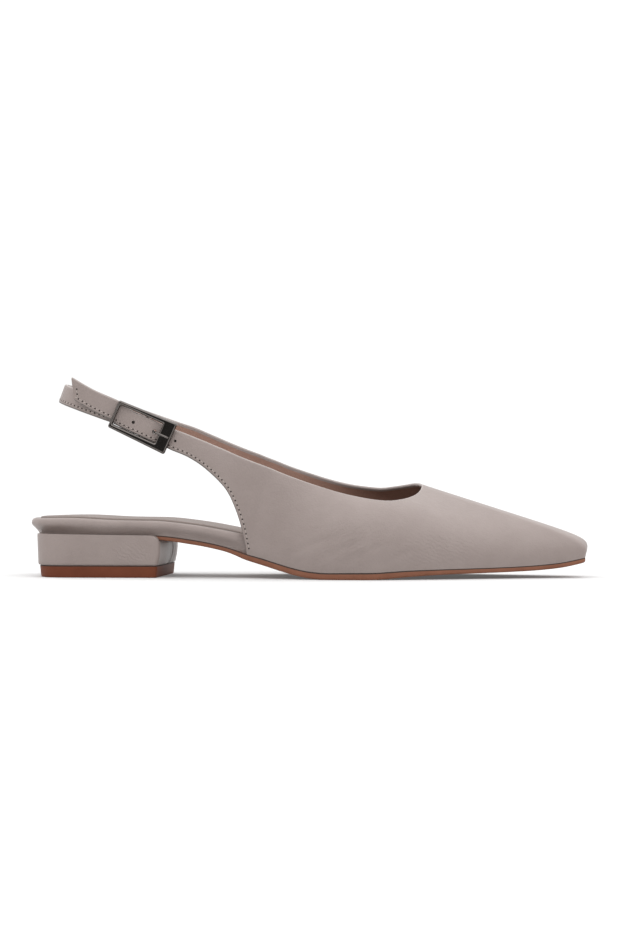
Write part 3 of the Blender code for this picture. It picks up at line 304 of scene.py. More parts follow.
# The last's plan, from the seat to the toe. Each row is a share of half the seat's width
# or of half the ball's width, on the lateral and on the medial side.
PLAN = table(
    "station seat_lateral seat_medial ball_lateral ball_medial",
    (0.205, 1.00, 1.00, 0.000, 0.000),
    (0.261, 0.98, 0.95, 0.000, 0.000),
    (0.336, 0.97, 0.86, 0.000, 0.000),
    (0.4015, 0.00, 0.00, 0.716, 0.568),
    (0.429, 0.00, 0.00, 0.765, 0.593),
    (0.470, 0.00, 0.00, 0.864, 0.667),
    (0.515, 0.00, 0.00, 0.963, 0.765),
    (0.560, 0.00, 0.00, 1.025, 0.864),
    (0.608, 0.00, 0.00, 1.037, 0.951),
    (0.664, 0.00, 0.00, 0.975, 0.975),
    (0.720, 0.00, 0.00, 0.852, 0.914),
    (0.776, 0.00, 0.00, 0.716, 0.802),
    (0.840, 0.00, 0.00, 0.556, 0.654),
    (0.907, 0.00, 0.00, 0.395, 0.494),
    (0.963, 0.00, 0.00, 0.284, 0.383),
    (1.000, 0.00, 0.00, 0.215, 0.325),
)

# The footbed's thickness as a share of FOOTBED_HEIGHT: thick under the arch, thin in front.
FOOTBED = table(
    "station height",
    (0.00, 0.95),
    (0.09, 1.04),
    (0.18, 0.93),
    (0.26, 0.95),
    (0.345, 1.03),
    (0.40, 1.18),
    (0.45, 1.20),
    (0.50, 1.00),
    (0.56, 0.66),
    (0.64, 0.46),
    (0.80, 0.42),
    (1.00, 0.40),
)

# The footbed's edge, from its underside up: the undercut and the rounding as shares of
# FOOTBED_UNDERCUT, the level as a share of its height.
FOOTBED_EDGE = table(
    "undercut level",
    (1.00, 0.00),
    (0.88, 0.12),
    (0.50, 0.34),
    (0.12, 0.52),
    (0.00, 0.66),
    (0.06, 0.84),
    (0.22, 0.95),
    (0.42, 1.00),
)

# The outsole's edge from its underside up: bevel as a share of OUTSOLE_BEVEL, level of its
# thickness
OUTSOLE_PROFILE = ((1.0, 0.0), (0.5, 0.06), (0.12, 0.18), (0.0, 0.35), (0.0, 0.8), (0.15, 0.94), (0.5, 1.0))

# The vamp's ribs on each side, from the cut-out's foot to the toe. Foot and top_x are shares
# of LENGTH, top_out and bulge of half the BALL_WIDTH, top_rise of INSTEP_HEIGHT above the
# feather line. Along and lift place the shoulder between foot and top, fullness pulls to it.
VAMP_COLUMNS = "foot top_x top_out top_rise along bulge lift fullness ribs"
VAMP_LATERAL = table(
    VAMP_COLUMNS,
    (0.4015, 0.4425, 0.746, 1.094, 0.49, 0.140, 0.51, 0.5, 2),
    (0.429, 0.4627, 0.760, 1.078, 0.50, 0.140, 0.55, 0.6, 3),
    (0.470, 0.500, 0.778, 1.049, 0.45, 0.135, 0.60, 0.75, 3),
    (0.515, 0.537, 0.790, 0.998, 0.40, 0.130, 0.68, 0.9, 3),
    (0.560, 0.567, 0.790, 0.939, 0.30, 0.125, 0.74, 1.0, 3),
    (0.608, 0.598, 0.790, 0.888, 0.33, 0.120, 0.75, 1.0, 4),
    (0.664, 0.629, 0.765, 0.850, 0.20, 0.120, 0.72, 1.0, 4),
    (0.720, 0.653, 0.691, 0.831, 0.15, 0.110, 0.69, 1.0, 4),
    (0.776, 0.674, 0.568, 0.839, 0.08, 0.095, 0.58, 1.1, 4),
    (0.840, 0.689, 0.420, 0.864, 0.03, 0.080, 0.46, 1.2, 4),
    (0.907, 0.6985, 0.260, 0.900, -0.01, 0.060, 0.39, 1.5, 4),
    (0.963, 0.7032, 0.135, 0.942, -0.02, 0.050, 0.305, 1.9, 4),
)
VAMP_MEDIAL = table(
    VAMP_COLUMNS,
    (0.4050, 0.431, 0.699, 1.158, 0.49, 0.120, 0.51, 0.5, 2),
    (0.429, 0.455, 0.716, 1.140, 0.50, 0.120, 0.55, 0.6, 3),
    (0.470, 0.496, 0.741, 1.118, 0.45, 0.115, 0.60, 0.75, 3),
    (0.515, 0.532, 0.741, 1.080, 0.40, 0.110, 0.66, 0.9, 3),
    (0.560, 0.563, 0.741, 1.034, 0.30, 0.105, 0.70, 1.0, 3),
    (0.608, 0.597, 0.728, 0.997, 0.33, 0.100, 0.72, 1.0, 4),
    (0.664, 0.625, 0.667, 0.980, 0.20, 0.100, 0.70, 1.0, 4),
    (0.720, 0.647, 0.556, 0.988, 0.15, 0.095, 0.67, 1.0, 4),
    (0.776, 0.670, 0.450, 1.001, 0.08, 0.085, 0.56, 1.1, 4),
    (0.840, 0.6865, 0.325, 1.012, 0.03, 0.070, 0.46, 1.2, 4),
    (0.907, 0.6965, 0.215, 1.010, -0.01, 0.055, 0.385, 1.5, 4),
    (0.963, 0.7010, 0.118, 1.001, -0.02, 0.045, 0.305, 1.9, 4),
)

# The ribs at the toe's two corners and its middle. Top_y is a share of half the BALL_WIDTH,
# reach one of LENGTH: how far the shoulder stands past the toe's edge.
TOE_COLUMNS = "top_x top_y top_rise reach lift fullness"
TOE_RIBS = table(
    TOE_COLUMNS,
    (0.7042, -0.065, 0.966, 0.0092, 0.255, 2.6),
    (0.7045, 0.000, 0.982, 0.0134, 0.255, 4.2),
    (0.7035, 0.060, 0.994, 0.0092, 0.255, 2.6),
)
TOE_RIB_COUNT = 4

# The quarter's ribs above the cut-out, from the strap down to the cut-out's foot. The x of
# both ends is a share of LENGTH, the distance out a share of half the LOOP_WIDTH near the
# strap and of half the BALL_WIDTH below it, the rise a share of INSTEP_HEIGHT.
QUARTER_COLUMNS = "foot_x foot_loop foot_ball foot_rise top_x top_loop top_ball top_rise ribs"
QUARTER_LATERAL = table(
    QUARTER_COLUMNS,
    (0.2668, 1.089, 0.000, 1.028, 0.2828, 1.075, 0.000, 1.266, 2),
    (0.2985, 1.109, 0.000, 0.968, 0.3172, 1.090, 0.000, 1.212, 2),
    (0.3321, 0.000, 0.735, 0.855, 0.3586, 0.000, 0.715, 1.158, 2),
    (0.3638, 0.000, 0.752, 0.690, 0.3881, 0.000, 0.728, 1.131, 2),
    (0.3806, 0.000, 0.756, 0.505, 0.4142, 0.000, 0.738, 1.112, 2),
    (0.3918, 0.000, 0.748, 0.300, 0.4291, 0.000, 0.743, 1.101, 2),
)
QUARTER_MEDIAL = table(
    QUARTER_COLUMNS,
    (0.2690, 0.997, 0.000, 1.095, 0.2817, 1.012, 0.000, 1.332, 2),
    (0.3000, 1.005, 0.000, 1.015, 0.3134, 1.028, 0.000, 1.274, 2),
    (0.3345, 0.000, 0.650, 0.880, 0.3470, 0.000, 0.670, 1.223, 2),
    (0.3665, 0.000, 0.645, 0.700, 0.3806, 0.000, 0.680, 1.195, 2),
    (0.3840, 0.000, 0.628, 0.510, 0.4011, 0.000, 0.690, 1.186, 2),
    (0.3950, 0.000, 0.604, 0.300, 0.4160, 0.000, 0.695, 1.171, 2),
)

# The tail of the buckled strap, from its slanted end to the keeper, out in shares of half
# the LOOP_WIDTH.
TAIL = table(
    "foot_x foot_rise top_x top_rise out ribs",
    (0.0939, 1.585, 0.0896, 1.861, 1.012, 3),
    (0.1290, 1.455, 0.1290, 1.716, 1.053, 3),
)

# The buckled strap's outer face inside the buckle: u along the strap as a share of half the
# BUCKLE_LENGTH, hump as a share of how far it rises over the bar, low and high as shares of
# STRAP_WIDTH to its two edges.
BUCKLED = table(
    "u hump low high ribs",
    (-0.97, 0.00, 0.37, 0.665, 2),
    (-0.72, 0.10, 0.485, 0.555, 3),
    (-0.30, 0.80, 0.495, 0.50, 3),
    (0.00, 1.00, 0.49, 0.50, 3),
    (0.28, 0.80, 0.50, 0.50, 3),
    (0.58, 0.06, 0.50, 0.50, 2),
    (0.98, 0.00, 0.49, 0.50, 2),
)

# The prong leaves its eye at shares of the eye's radius along and up from the bar, with a lift in
# prong radii. Under the strap its places are shares of PRONG_HOLE with a lift in prong radii. Its
# bend lies that many prong radii past the hole, at shares of its height on the plate. Its tip is
# given as shares of half the BUCKLE_LENGTH, with a lift and a thickness in prong radii.
PRONG_EYE_REACH = 0.80
PRONG_EYE_SHARE = 0.55
PRONG_EYE_LIFT = -0.2
PRONG_UNDER = ((0.72, 0.0), (0.95, 1.0))
PRONG_BEND = ((0.8, 0.60), (3.0, 0.93), (5.5, 1.0))
PRONG_POINT = ((0.88, 0.0, 1.0), (0.925, -0.1, 0.75), (0.94, -0.2, 0.25))

# Places of the buckle and of the heel loop: x as a share of LENGTH, rise of INSTEP_HEIGHT,
# out of half the LOOP_WIDTH
BUCKLE_X_SHARE = 0.2161
BUCKLE_RISE_SHARE = 1.290
BUCKLE_OUT_SHARE = 1.089
LOOP_X_SHARE = 0.168
LOOP_RISE_SHARE = 1.4325
LOOP_FRONT_SHARES = (0.245, 0.205)

# The strap's end at the bar: where it passes under the keeper and comes up to the bar as
# shares of half the BUCKLE_LENGTH, its rise there as a share of the loop's radius, how far it
# turns either way, and where it lies flat again as a share of FOLD_LENGTH
KEEPER_PASS = 0.90
BAR_APPROACH = 0.50
APPROACH_RISE = 0.2
LOOP_TURN = math.radians(105)
LOOP_TURN_RIBS = 8
FOLD_BEND_SHARE = 0.3

# How full a quarter is between its ends, as a share of its height
QUARTER_FULLNESS = 0.06

# The creases of the vamp: ends as shares of LENGTH and of INSTEP_HEIGHT above
# the feather line, bow, width and depth in millimetres.
CREASES = table(
    "side from_x from_rise to_x to_rise bow width depth",
    (LATERAL, 0.470, 0.10, 0.560, 0.42, 1.5, 1.4, 0.16),
    (LATERAL, 0.520, 0.08, 0.610, 0.36, 1.5, 1.3, 0.18),
    (LATERAL, 0.575, 0.08, 0.655, 0.34, 1.2, 1.3, 0.16),
    (LATERAL, 0.640, 0.06, 0.710, 0.26, 1.0, 1.2, 0.12),
    (MEDIAL, 0.520, 0.10, 0.610, 0.40, 1.5, 1.4, 0.16),
    (MEDIAL, 0.590, 0.08, 0.670, 0.34, 1.2, 1.3, 0.16),
)

# The lean of the heel's breast at its outer and inner end, by height, in millimetres
BREAST_LEAN = table(
    "share near far",
    (0.00, -0.90, 0.20),
    (0.12, -0.50, 0.50),
    (0.35, 0.10, 0.95),
    (0.62, 0.25, 1.20),
    (0.85, 0.10, 1.10),
    (1.00, -0.10, 0.70),
)

# The breast's pleats: place and bend in y, depth and width, in millimetres
PLEATS = table(
    "place bend depth width",
    (11.0, 5.0, 1.1, 1.5),
    (18.0, 4.0, 0.5, 1.6),
    (3.0, 3.0, 0.25, 2.0),
)


def pchip_slopes(knots, values):
    """Slopes at the knots of a smooth curve that never overshoots them."""
    rates = np.diff(values) / np.diff(knots)
    slopes = np.zeros(len(knots))
    slopes[0] = rates[0]
    slopes[-1] = rates[-1]
    for index in range(1, len(knots) - 1):
        before, after = rates[index - 1], rates[index]
        if before * after > 0:
            slopes[index] = 2 * before * after / (before + after)
    return slopes


def hermite(knots, values, left, right, place):
    """Value at one place of the curve with the given slopes to either side of each knot."""
    index = int(np.clip(np.searchsorted(knots, place) - 1, 0, len(knots) - 2))
    span = knots[index + 1] - knots[index]
    t = (place - knots[index]) / span
    start = (1 + 2 * t) * (1 - t) ** 2 * values[index] + t * (1 - t) ** 2 * span * right[index]
    end = t * t * (3 - 2 * t) * values[index + 1] + t * t * (t - 1) * span * left[index + 1]
    return start + end


def pchip(knots, values, place):
    """Value at one place of a smooth curve that never overshoots its knots."""
    slopes = pchip_slopes(knots, values)
    return float(hermite(knots, values, slopes, slopes, np.clip(place, knots[0], knots[-1])))


def read(rows, name, share):
    """A column of a table at one share of the length."""
    return pchip(rows["station"], rows[name], share)


def tread_height(x):
    """Height of the outsole's underside above the floor."""
    share = x / LENGTH
    return HEEL_RISE * read(SOLE_LINE, "rise", share) + TOE_SPRING * read(SOLE_LINE, "spring", share)


def feather_height(x):
    """Height of the feather line, where the outsole's upper face ends."""
    return tread_height(x) + OUTSOLE_EDGE * read(SOLE_LINE, "edge", x / LENGTH)


def plan_knots(side):
    """Stations of the plan in metres and the half widths there."""
    name = "lateral" if side == LATERAL else "medial"
    seat = PLAN["seat_" + name] * SEAT_WIDTH / 2
    ball = PLAN["ball_" + name] * BALL_WIDTH / 2
    return PLAN["station"] * LENGTH, seat + ball


def half_width(side, x):
    """Distance from the shoe's axis to the feather line, in front of the seat's rounding."""
    knots, widths = plan_knots(side)
    slopes = pchip_slopes(knots, widths)
    slopes[-1] = slopes[-2]
    return float(hermite(knots, widths, slopes, slopes, np.clip(x, knots[0], knots[-1])))


def seat_half_width(side, x):
    """The same distance with the seat's back rounded off."""
    rounding = max(0.0, 1 - x / SEAT_ROUNDING)
    return half_width(side, x) * (1 - rounding ** SEAT_SQUARENESS) ** (1 / SEAT_SQUARENESS)


def toe_corner(side):
    """The toe corner's arc: where it starts along x, its start angle and its centre."""
    end = LENGTH * TOE_END_SHARE
    slope = (half_width(side, end - TOE_CORNER) - half_width(side, end - 2 * TOE_CORNER)) / TOE_CORNER
    angle = math.atan(-slope)
    centre_x = end - TOE_CORNER
    start = centre_x + TOE_CORNER * math.sin(angle)
    centre_out = half_width(side, start) - TOE_CORNER * math.cos(angle)
    return start, angle, centre_x, centre_out


def toe_middle():
    """Sideways place of the middle of the toe's edge."""
    return (toe_corner(MEDIAL)[3] - toe_corner(LATERAL)[3]) / 2


def toe_reach(side):
    """Reach of the toe's middle: along x to the corner, and from there along the edge."""
    start, angle, _, centre_out = toe_corner(side)
    return start + TOE_CORNER * (math.pi / 2 - angle) + centre_out - side * toe_middle()


def feather_point(side, reach):
    """Plan point of the feather line at a reach from the seat's back."""
    start, angle, centre_x, centre_out = toe_corner(side)
    if reach <= start:
        return np.array((reach, side * half_width(side, reach)))
    turned = angle + (reach - start) / TOE_CORNER
    if turned < math.pi / 2:
        return np.array((
            centre_x + TOE_CORNER * math.sin(turned),
            side * (centre_out + TOE_CORNER * math.cos(turned)),
        ))
    past = (turned - math.pi / 2) * TOE_CORNER
    return np.array((centre_x + TOE_CORNER, side * (centre_out - past)))


def side_points(side, back):
    """Plan points of one side from a back station to just before the toe's middle."""
    points = []
    if back < SEAT_ROUNDING:
        for index in range(1, SEAT_POINTS):
            angle = math.pi / 2 * index / SEAT_POINTS
            x = SEAT_ROUNDING * (1 - math.cos(angle) ** (2 / SEAT_SQUARENESS))
            points.append(np.array((x, side * seat_half_width(side, x))))
    else:
        points.append(feather_point(side, back))
    start, angle = toe_corner(side)[:2]
    for reach in np.linspace(SEAT_ROUNDING, start, SIDE_POINTS):
        if reach > back + GAP:
            points.append(feather_point(side, reach))
    arc = TOE_CORNER * (math.pi / 2 - angle)
    for reach in start + np.linspace(0, arc, TOE_POINTS)[1:]:
        points.append(feather_point(side, reach))
    half_edge = toe_reach(side) - start - arc
    points.append(feather_point(side, start + arc + half_edge / 2))
    return points


def plan_loop(back=0.0):
    """The closed plan: heel middle, lateral side, toe middle, medial side."""
    toe = np.array((LENGTH * TOE_END_SHARE, toe_middle()))
    heel = np.array((back, 0.0))
    lateral = side_points(LATERAL, back)
    medial = side_points(MEDIAL, back)
    return np.array([heel] + lateral + [toe] + medial[::-1])


def loop_normals(loop):
    """Outward normals of a closed plan that runs heel, -Y side, toe, +Y side."""
    tangents = np.roll(loop, -1, axis=0) - np.roll(loop, 1, axis=0)
    normals = np.stack((tangents[:, 1], -tangents[:, 0]), axis=1)
    return normals / np.linalg.norm(normals, axis=1)[:, None]


def smoothstep(low, high, value):
    """0 below low, 1 above high, and smooth between."""
    t = min(1.0, max(0.0, (value - low) / (high - low)))
    return t * t * (3 - 2 * t)


def lengths_along(line):
    """Length from a line's start to each of its points."""
    return np.concatenate(([0.0], np.cumsum(np.linalg.norm(np.diff(line, axis=0), axis=1))))


def point_at(place, lengths, line):
    """The point of a line at a length along it."""
    return np.array([np.interp(place, lengths, line[:, axis]) for axis in range(3)])


def circle(centre, first, second, radius, sides):
    """Points of a circle round a centre, in the plane of two directions."""
    angles = 2 * math.pi * np.arange(sides) / sides
    return [centre + (first * math.cos(angle) + second * math.sin(angle)) * radius for angle in angles]


COVER_START = 0.375
COVER_END = 0.400


def covered(x):
    """0 where the footbed shows behind the cut-outs, 1 where the upper covers it."""
    return smoothstep(COVER_START * LENGTH, COVER_END * LENGTH, x)


def layer_rings(profile, inset, height, back=0.0):
    """A ring of the sole's plan for each row of a profile, with an inset and a height for each x."""
    loop = plan_loop(back)
    normals = loop_normals(loop)
    if back:
        normals[[0, 1, -1]] = ((-1.0, 0.0), (0.0, LATERAL), (0.0, MEDIAL))
    rings = []
    for trim, level in profile:
        points = []
        for (x, y), (nx, ny) in zip(loop, normals):
            depth = inset(x, trim)
            px, py = x - nx * depth, y - ny * depth
            points.append((px, py, height(px, level)))
        if back:
            points[0] = (back, 0.0, height(back, level))
        rings.append(points)
    return rings


def footbed_top(x):
    """Height of the footbed's upper face at its edge."""
    return feather_height(x) + GAP + FOOTBED_HEIGHT * read(FOOTBED, "height", x / LENGTH)


def footbed_dish(x):
    """How far the footbed's middle lies below its edge."""
    return FOOTBED_DISH * (1 - COVERED_DISH_SHARE * covered(x))


def covered_inset(x):
    """Inset of the pieces that lie inside the upper."""
    return covered(x) * (WALL + GAP)


def undercut_depth(x):
    """How far the footbed's edge is undercut: less where the upper covers it."""
    return FOOTBED_UNDERCUT * (1 - (1 - COVERED_UNDERCUT_SHARE) * covered(x))


def heel_loop(front, inset, height):
    """A ring of the heel: a rounded back, straight sides and a straight breast."""
    back = HEEL_SETBACK + inset
    half = HEEL_WIDTH / 2 - inset
    middle = (back + front) / 2
    corners = (
        (back + HEEL_BACK_CORNER, HEEL_BACK_CORNER, 180, 90, BACK_CORNER_POINTS),
        (front - HEEL_BREAST_CORNER, HEEL_BREAST_CORNER, 90, 0, BREAST_CORNER_POINTS),
    )
    side = []
    for x, radius, start, end, count in corners:
        for angle in np.radians(np.linspace(start, end, count)):
            side.append((x + radius * math.cos(angle), half - radius + radius * math.sin(angle)))
    side.insert(BACK_CORNER_POINTS, (middle, half))
    lateral = [(x, -out) for x, out in side]
    medial = side[::-1]
    loop = [(back, 0.0)] + lateral + [(front, 0.0)] + medial
    return [(x, y, height(x)) for x, y in loop]


def last_point(x, y, rise):
    """A point at a rise above the feather line, as a share of the instep's height."""
    return np.array((x, y, feather_height(x) + rise * INSTEP_HEIGHT))


def buckle_axes():
    """The buckle's centre under its frame, and its axes along, across and outward."""
    x = BUCKLE_X_SHARE * LENGTH
    centre = last_point(x, LATERAL * BUCKLE_OUT_SHARE * LOOP_WIDTH / 2, BUCKLE_RISE_SHARE)
    along = np.array((math.cos(BUCKLE_TILT), 0.0, -math.sin(BUCKLE_TILT)))
    across = np.array((math.sin(BUCKLE_TILT), 0.0, math.cos(BUCKLE_TILT)))
    outward = np.array((0.0, -1.0, 0.0))
    return centre, along, across, outward


def buckle_point(u, v, n):
    """A point in the buckle's own frame."""
    centre, along, across, outward = buckle_axes()
    return centre + u * along + v * across + n * outward


class Rib:
    """One rib of the upper: a conic from its foot to its top, pulled to a shoulder."""

    def __init__(self, foot, shoulder, top, fullness, count, reach=None, corner=False):
        self.foot = np.array(foot)
        self.shoulder = np.array(shoulder)
        self.top = np.array(top)
        self.fullness = fullness
        self.count = int(count)
        self.reach = reach
        self.corner = corner


def strip_rib(foot, top, count):
    """A rib straight across the strap."""
    foot, top = np.array(foot), np.array(top)
    return Rib(foot, (foot + top) / 2, top, 1.0, count)


def tail_ribs():
    """Ribs of the strap's free tail."""
    ribs = []
    for index in range(len(TAIL["out"])):
        y = LATERAL * TAIL["out"][index] * LOOP_WIDTH / 2
        foot = last_point(TAIL["foot_x"][index] * LENGTH, y, TAIL["foot_rise"][index])
        top = last_point(TAIL["top_x"][index] * LENGTH, y, TAIL["top_rise"][index])
        ribs.append(strip_rib(foot, top, TAIL["ribs"][index]))
    return ribs


def hump_height():
    """How far the buckled strap rises over the bar and the loop around it."""
    return -BAR_DEPTH + loop_radius() + GAP + WALL + GAP


def loop_radius():
    """Outer radius of the strap's loop around the bar."""
    return BAR_RADIUS + GAP + WALL


def eye_radius():
    """Outer radius of the prong's eye round the bar."""
    return BAR_RADIUS + GAP + PRONG_WIDTH / 2


def buckled_face(u):
    """Height of the buckled strap's outer face over the frame's underside."""
    return -GAP + pchip(BUCKLED["u"] * BUCKLE_LENGTH / 2, BUCKLED["hump"], u) * hump_height()


def buckled_ribs():
    """Ribs of the strap where it passes through the buckle, over the bar."""
    ribs = []
    for index, u in enumerate(BUCKLED["u"]):
        n = -GAP + BUCKLED["hump"][index] * hump_height()
        along = u * BUCKLE_LENGTH / 2
        foot = buckle_point(along, -BUCKLED["low"][index] * STRAP_WIDTH, n)
        top = buckle_point(along, BUCKLED["high"][index] * STRAP_WIDTH, n)
        ribs.append(strip_rib(foot, top, BUCKLED["ribs"][index]))
    return ribs


def quarter_ribs(rows, side):
    """Ribs of a quarter above the cut-out."""
    ribs = []
    for index in range(len(rows["ribs"])):
        ends = []
        for end in ("foot", "top"):
            x = rows[end + "_x"][index] * LENGTH
            out = rows[end + "_loop"][index] * LOOP_WIDTH + rows[end + "_ball"][index] * BALL_WIDTH
            ends.append(last_point(x, side * out / 2, rows[end + "_rise"][index]))
        foot, top = ends
        shoulder = (foot + top) / 2
        shoulder[1] += side * QUARTER_FULLNESS * abs(top[2] - foot[2])
        ribs.append(Rib(foot, shoulder, top, 1.0, rows["ribs"][index]))
    return ribs


def vamp_ribs(rows, side):
    """Ribs of one side of the vamp, from the cut-out's foot to the toe."""
    ribs = []
    for index in range(len(rows["foot"])):
        reach = rows["foot"][index] * LENGTH
        plan = feather_point(side, reach)
        foot = np.array((plan[0], plan[1], feather_height(plan[0]) + GAP))
        top_y = side * rows["top_out"][index] * BALL_WIDTH / 2
        top = last_point(rows["top_x"][index] * LENGTH, top_y, rows["top_rise"][index])
        shoulder = foot.copy()
        shoulder[0] += rows["along"][index] * (top[0] - foot[0])
        shoulder[1] += side * rows["bulge"][index] * BALL_WIDTH / 2
        shoulder[2] += rows["lift"][index] * (top[2] - foot[2])
        ribs.append(Rib(foot, shoulder, top, rows["fullness"][index], rows["ribs"][index],
                        reach, corner=index == 0))
    return ribs


def toe_ribs():
    """Ribs at the toe's lateral corner, middle and medial corner."""
    ribs = []
    for index, side in enumerate((LATERAL, 0, MEDIAL)):
        if side:
            start, angle = toe_corner(side)[:2]
            reach = start + TOE_CORNER * (math.pi / 2 - angle) / 2
            plan = feather_point(side, reach)
        else:
            reach = toe_reach(LATERAL)
            plan = feather_point(LATERAL, reach)
        foot = np.array((plan[0], plan[1], feather_height(plan[0]) + GAP))
        top_y = TOE_RIBS["top_y"][index] * BALL_WIDTH / 2
        top = last_point(TOE_RIBS["top_x"][index] * LENGTH, top_y, TOE_RIBS["top_rise"][index])
        shoulder = foot.copy()
        shoulder[0] += TOE_RIBS["reach"][index] * LENGTH
        shoulder[1] += side * TOE_RIBS["reach"][index] * LENGTH / 2
        shoulder[2] += TOE_RIBS["lift"][index] * (top[2] - foot[2])
        ribs.append(Rib(foot, shoulder, top, TOE_RIBS["fullness"][index], TOE_RIB_COUNT, reach))
    return ribs


def heel_strap_ribs():
    """Ribs of the strap's run round the heel, from the medial quarter to the buckle."""
    ribs = []
    middle = LOOP_X_SHARE * LENGTH
    tilt = np.array((math.sin(LOOP_TILT), 0.0, math.cos(LOOP_TILT))) * HEEL_STRAP_WIDTH / 2
    level = last_point(middle, 0.0, LOOP_RISE_SHARE)[2]

    def centre(x, y):
        return np.array((x, y, level - LOOP_SLOPE * (x - middle)))

    for share in LOOP_FRONT_SHARES:
        place = centre(share * LENGTH, LOOP_WIDTH / 2)
        ribs.append(strip_rib(place - tilt, place + tilt, 2))
    for index in range(LOOP_RIBS + 1):
        angle = math.pi * index / LOOP_RIBS
        forward = abs(math.sin(angle)) ** (2 / LOOP_SQUARENESS)
        outward = abs(math.cos(angle)) ** (2 / LOOP_SQUARENESS)
        y = math.copysign(outward, math.cos(angle)) * LOOP_WIDTH / 2
        place = centre(middle - LOOP_DEPTH * forward, y)
        ribs.append(strip_rib(place - tilt, place + tilt, 1))
    return ribs


def bar_loop_ribs():
    """Ribs of the strap's end: under the keeper, round the bar and back beneath itself."""
    radius = loop_radius()
    under = -GAP - WALL - GAP
    fold = under - WALL - GAP - WALL
    half = BUCKLE_LENGTH / 2
    path = [(-KEEPER_PASS * half, under), (-BAR_APPROACH * half, under + APPROACH_RISE * radius)]
    for angle in np.linspace(LOOP_TURN, -LOOP_TURN, LOOP_TURN_RIBS):
        path.append((radius * math.cos(angle), -BAR_DEPTH + radius * math.sin(angle)))
    path.append((-FOLD_BEND_SHARE * FOLD_LENGTH, fold))
    path.append((-FOLD_LENGTH, fold))
    ribs = []
    for u, n in path:
        foot = buckle_point(u, -HEEL_STRAP_WIDTH / 2, n)
        top = buckle_point(u, HEEL_STRAP_WIDTH / 2, n)
        ribs.append(strip_rib(foot, top, 2))
    return ribs


def rib_rows():
    """All the upper's ribs in order, from the strap's tail round the toe to the bar's loop."""
    lateral = tail_ribs() + buckled_ribs() + quarter_ribs(QUARTER_LATERAL, LATERAL)
    lateral += vamp_ribs(VAMP_LATERAL, LATERAL)
    toe = toe_ribs()
    medial = quarter_ribs(QUARTER_MEDIAL, MEDIAL) + vamp_ribs(VAMP_MEDIAL, MEDIAL)
    far_side = toe_reach(LATERAL) + toe_reach(MEDIAL)
    for rib in medial + [toe[-1]]:
        if rib.reach is not None:
            rib.reach = far_side - rib.reach
    return lateral + toe + medial[::-1] + heel_strap_ribs() + bar_loop_ribs()


def blend_rows(rows):
    """Smooth ribs between the given ones; only the feet at the cut-outs make a corner."""
    middles = np.array([(rib.foot + rib.top) / 2 for rib in rows])
    ends = np.array([rib.top for rib in rows])
    steps = np.linalg.norm(np.diff(middles, axis=0), axis=1)
    steps += np.linalg.norm(np.diff(ends, axis=0), axis=1)
    knots = np.concatenate(([0.0], np.cumsum(np.sqrt(steps))))
    values = np.array([
        np.concatenate((rib.foot, rib.shoulder, rib.top, (rib.fullness,))) for rib in rows
    ])
    rates = np.diff(values, axis=0) / np.diff(knots)[:, None]
    left = np.zeros_like(values)
    right = np.zeros_like(values)
    left[0] = right[0] = rates[0]
    left[-1] = right[-1] = rates[-1]
    for index in range(1, len(rows) - 1):
        before = knots[index] - knots[index - 1]
        after = knots[index + 1] - knots[index]
        mean = (rates[index - 1] * after + rates[index] * before) / (before + after)
        left[index] = right[index] = mean
        if rows[index].corner:
            left[index][:3] = rates[index - 1][:3]
            right[index][:3] = rates[index][:3]
    ribs = []
    for index in range(len(rows) - 1):
        start, end = rows[index], rows[index + 1]
        on_feather = start.reach is not None and end.reach is not None
        for step in range(start.count):
            share = step / start.count
            place = knots[index] + (knots[index + 1] - knots[index]) * share
            value = hermite(knots, values, left, right, max(place, knots[index] + TINY))
            rib = Rib(value[0:3], value[3:6], value[6:9], value[9], 1)
            if on_feather:
                rib.reach = start.reach + (end.reach - start.reach) * share
                seat_on_feather(rib)
            ribs.append(rib)
    ribs.append(rows[-1])
    return ribs


def seat_on_feather(rib):
    """Set a rib's foot exactly on the feather line."""
    turn = toe_reach(LATERAL)
    if rib.reach <= turn:
        plan = feather_point(LATERAL, rib.reach)
    else:
        plan = feather_point(MEDIAL, turn + toe_reach(MEDIAL) - rib.reach)
    moved = np.array((plan[0], plan[1], feather_height(plan[0]) + GAP)) - rib.foot
    rib.foot = rib.foot + moved
    rib.shoulder = rib.shoulder + moved / 2


def rib_line(rib):
    """The fine line of one rib and the share of its length at each point."""
    fine = np.linspace(0, 1, LINE_POINTS)
    weights = np.stack(((1 - fine) ** 2, 2 * fine * (1 - fine) * rib.fullness, fine ** 2))
    ends = np.stack((rib.foot, rib.shoulder, rib.top))
    line = (weights.T @ ends) / weights.sum(axis=0)[:, None]
    return fine, line, lengths_along(line)


def rib_points(rib):
    """Points along one rib, clear of its folded edges, with a row where the fold ends inside."""
    fine, line, lengths = rib_line(rib)
    measure = (lengths / lengths[-1] + fine) / 2
    low = 0.0 if rib.reach is not None else np.interp(FOLD_RADIUS, lengths, measure)
    fold = np.interp(lengths[-1] - FOLD_RADIUS - FOLD_WIDTH, lengths, measure)
    high = np.interp(lengths[-1] - FOLD_RADIUS, lengths, measure)
    wanted = np.append(np.linspace(low, fold, RIB_SEGMENTS), high)
    return point_at(wanted, measure, line).T


def grid_normals(grid):
    """Outward normals of a grid of ribs."""
    along = np.gradient(grid, axis=0)
    up = np.gradient(grid, axis=1)
    normals = np.cross(along, up)
    return normals / np.linalg.norm(normals, axis=2)[:, :, None]


def rim(outer_end, inner_end, outward):
    """Points of a rounded rim from the outer to the inner surface."""
    middle = (outer_end + inner_end) / 2
    half = (outer_end - inner_end) / 2
    points = []
    for angle in np.linspace(0, math.pi, RIM_STEPS + 2)[1:-1]:
        points.append(middle + half * math.cos(angle) + outward * math.sin(angle))
    return points


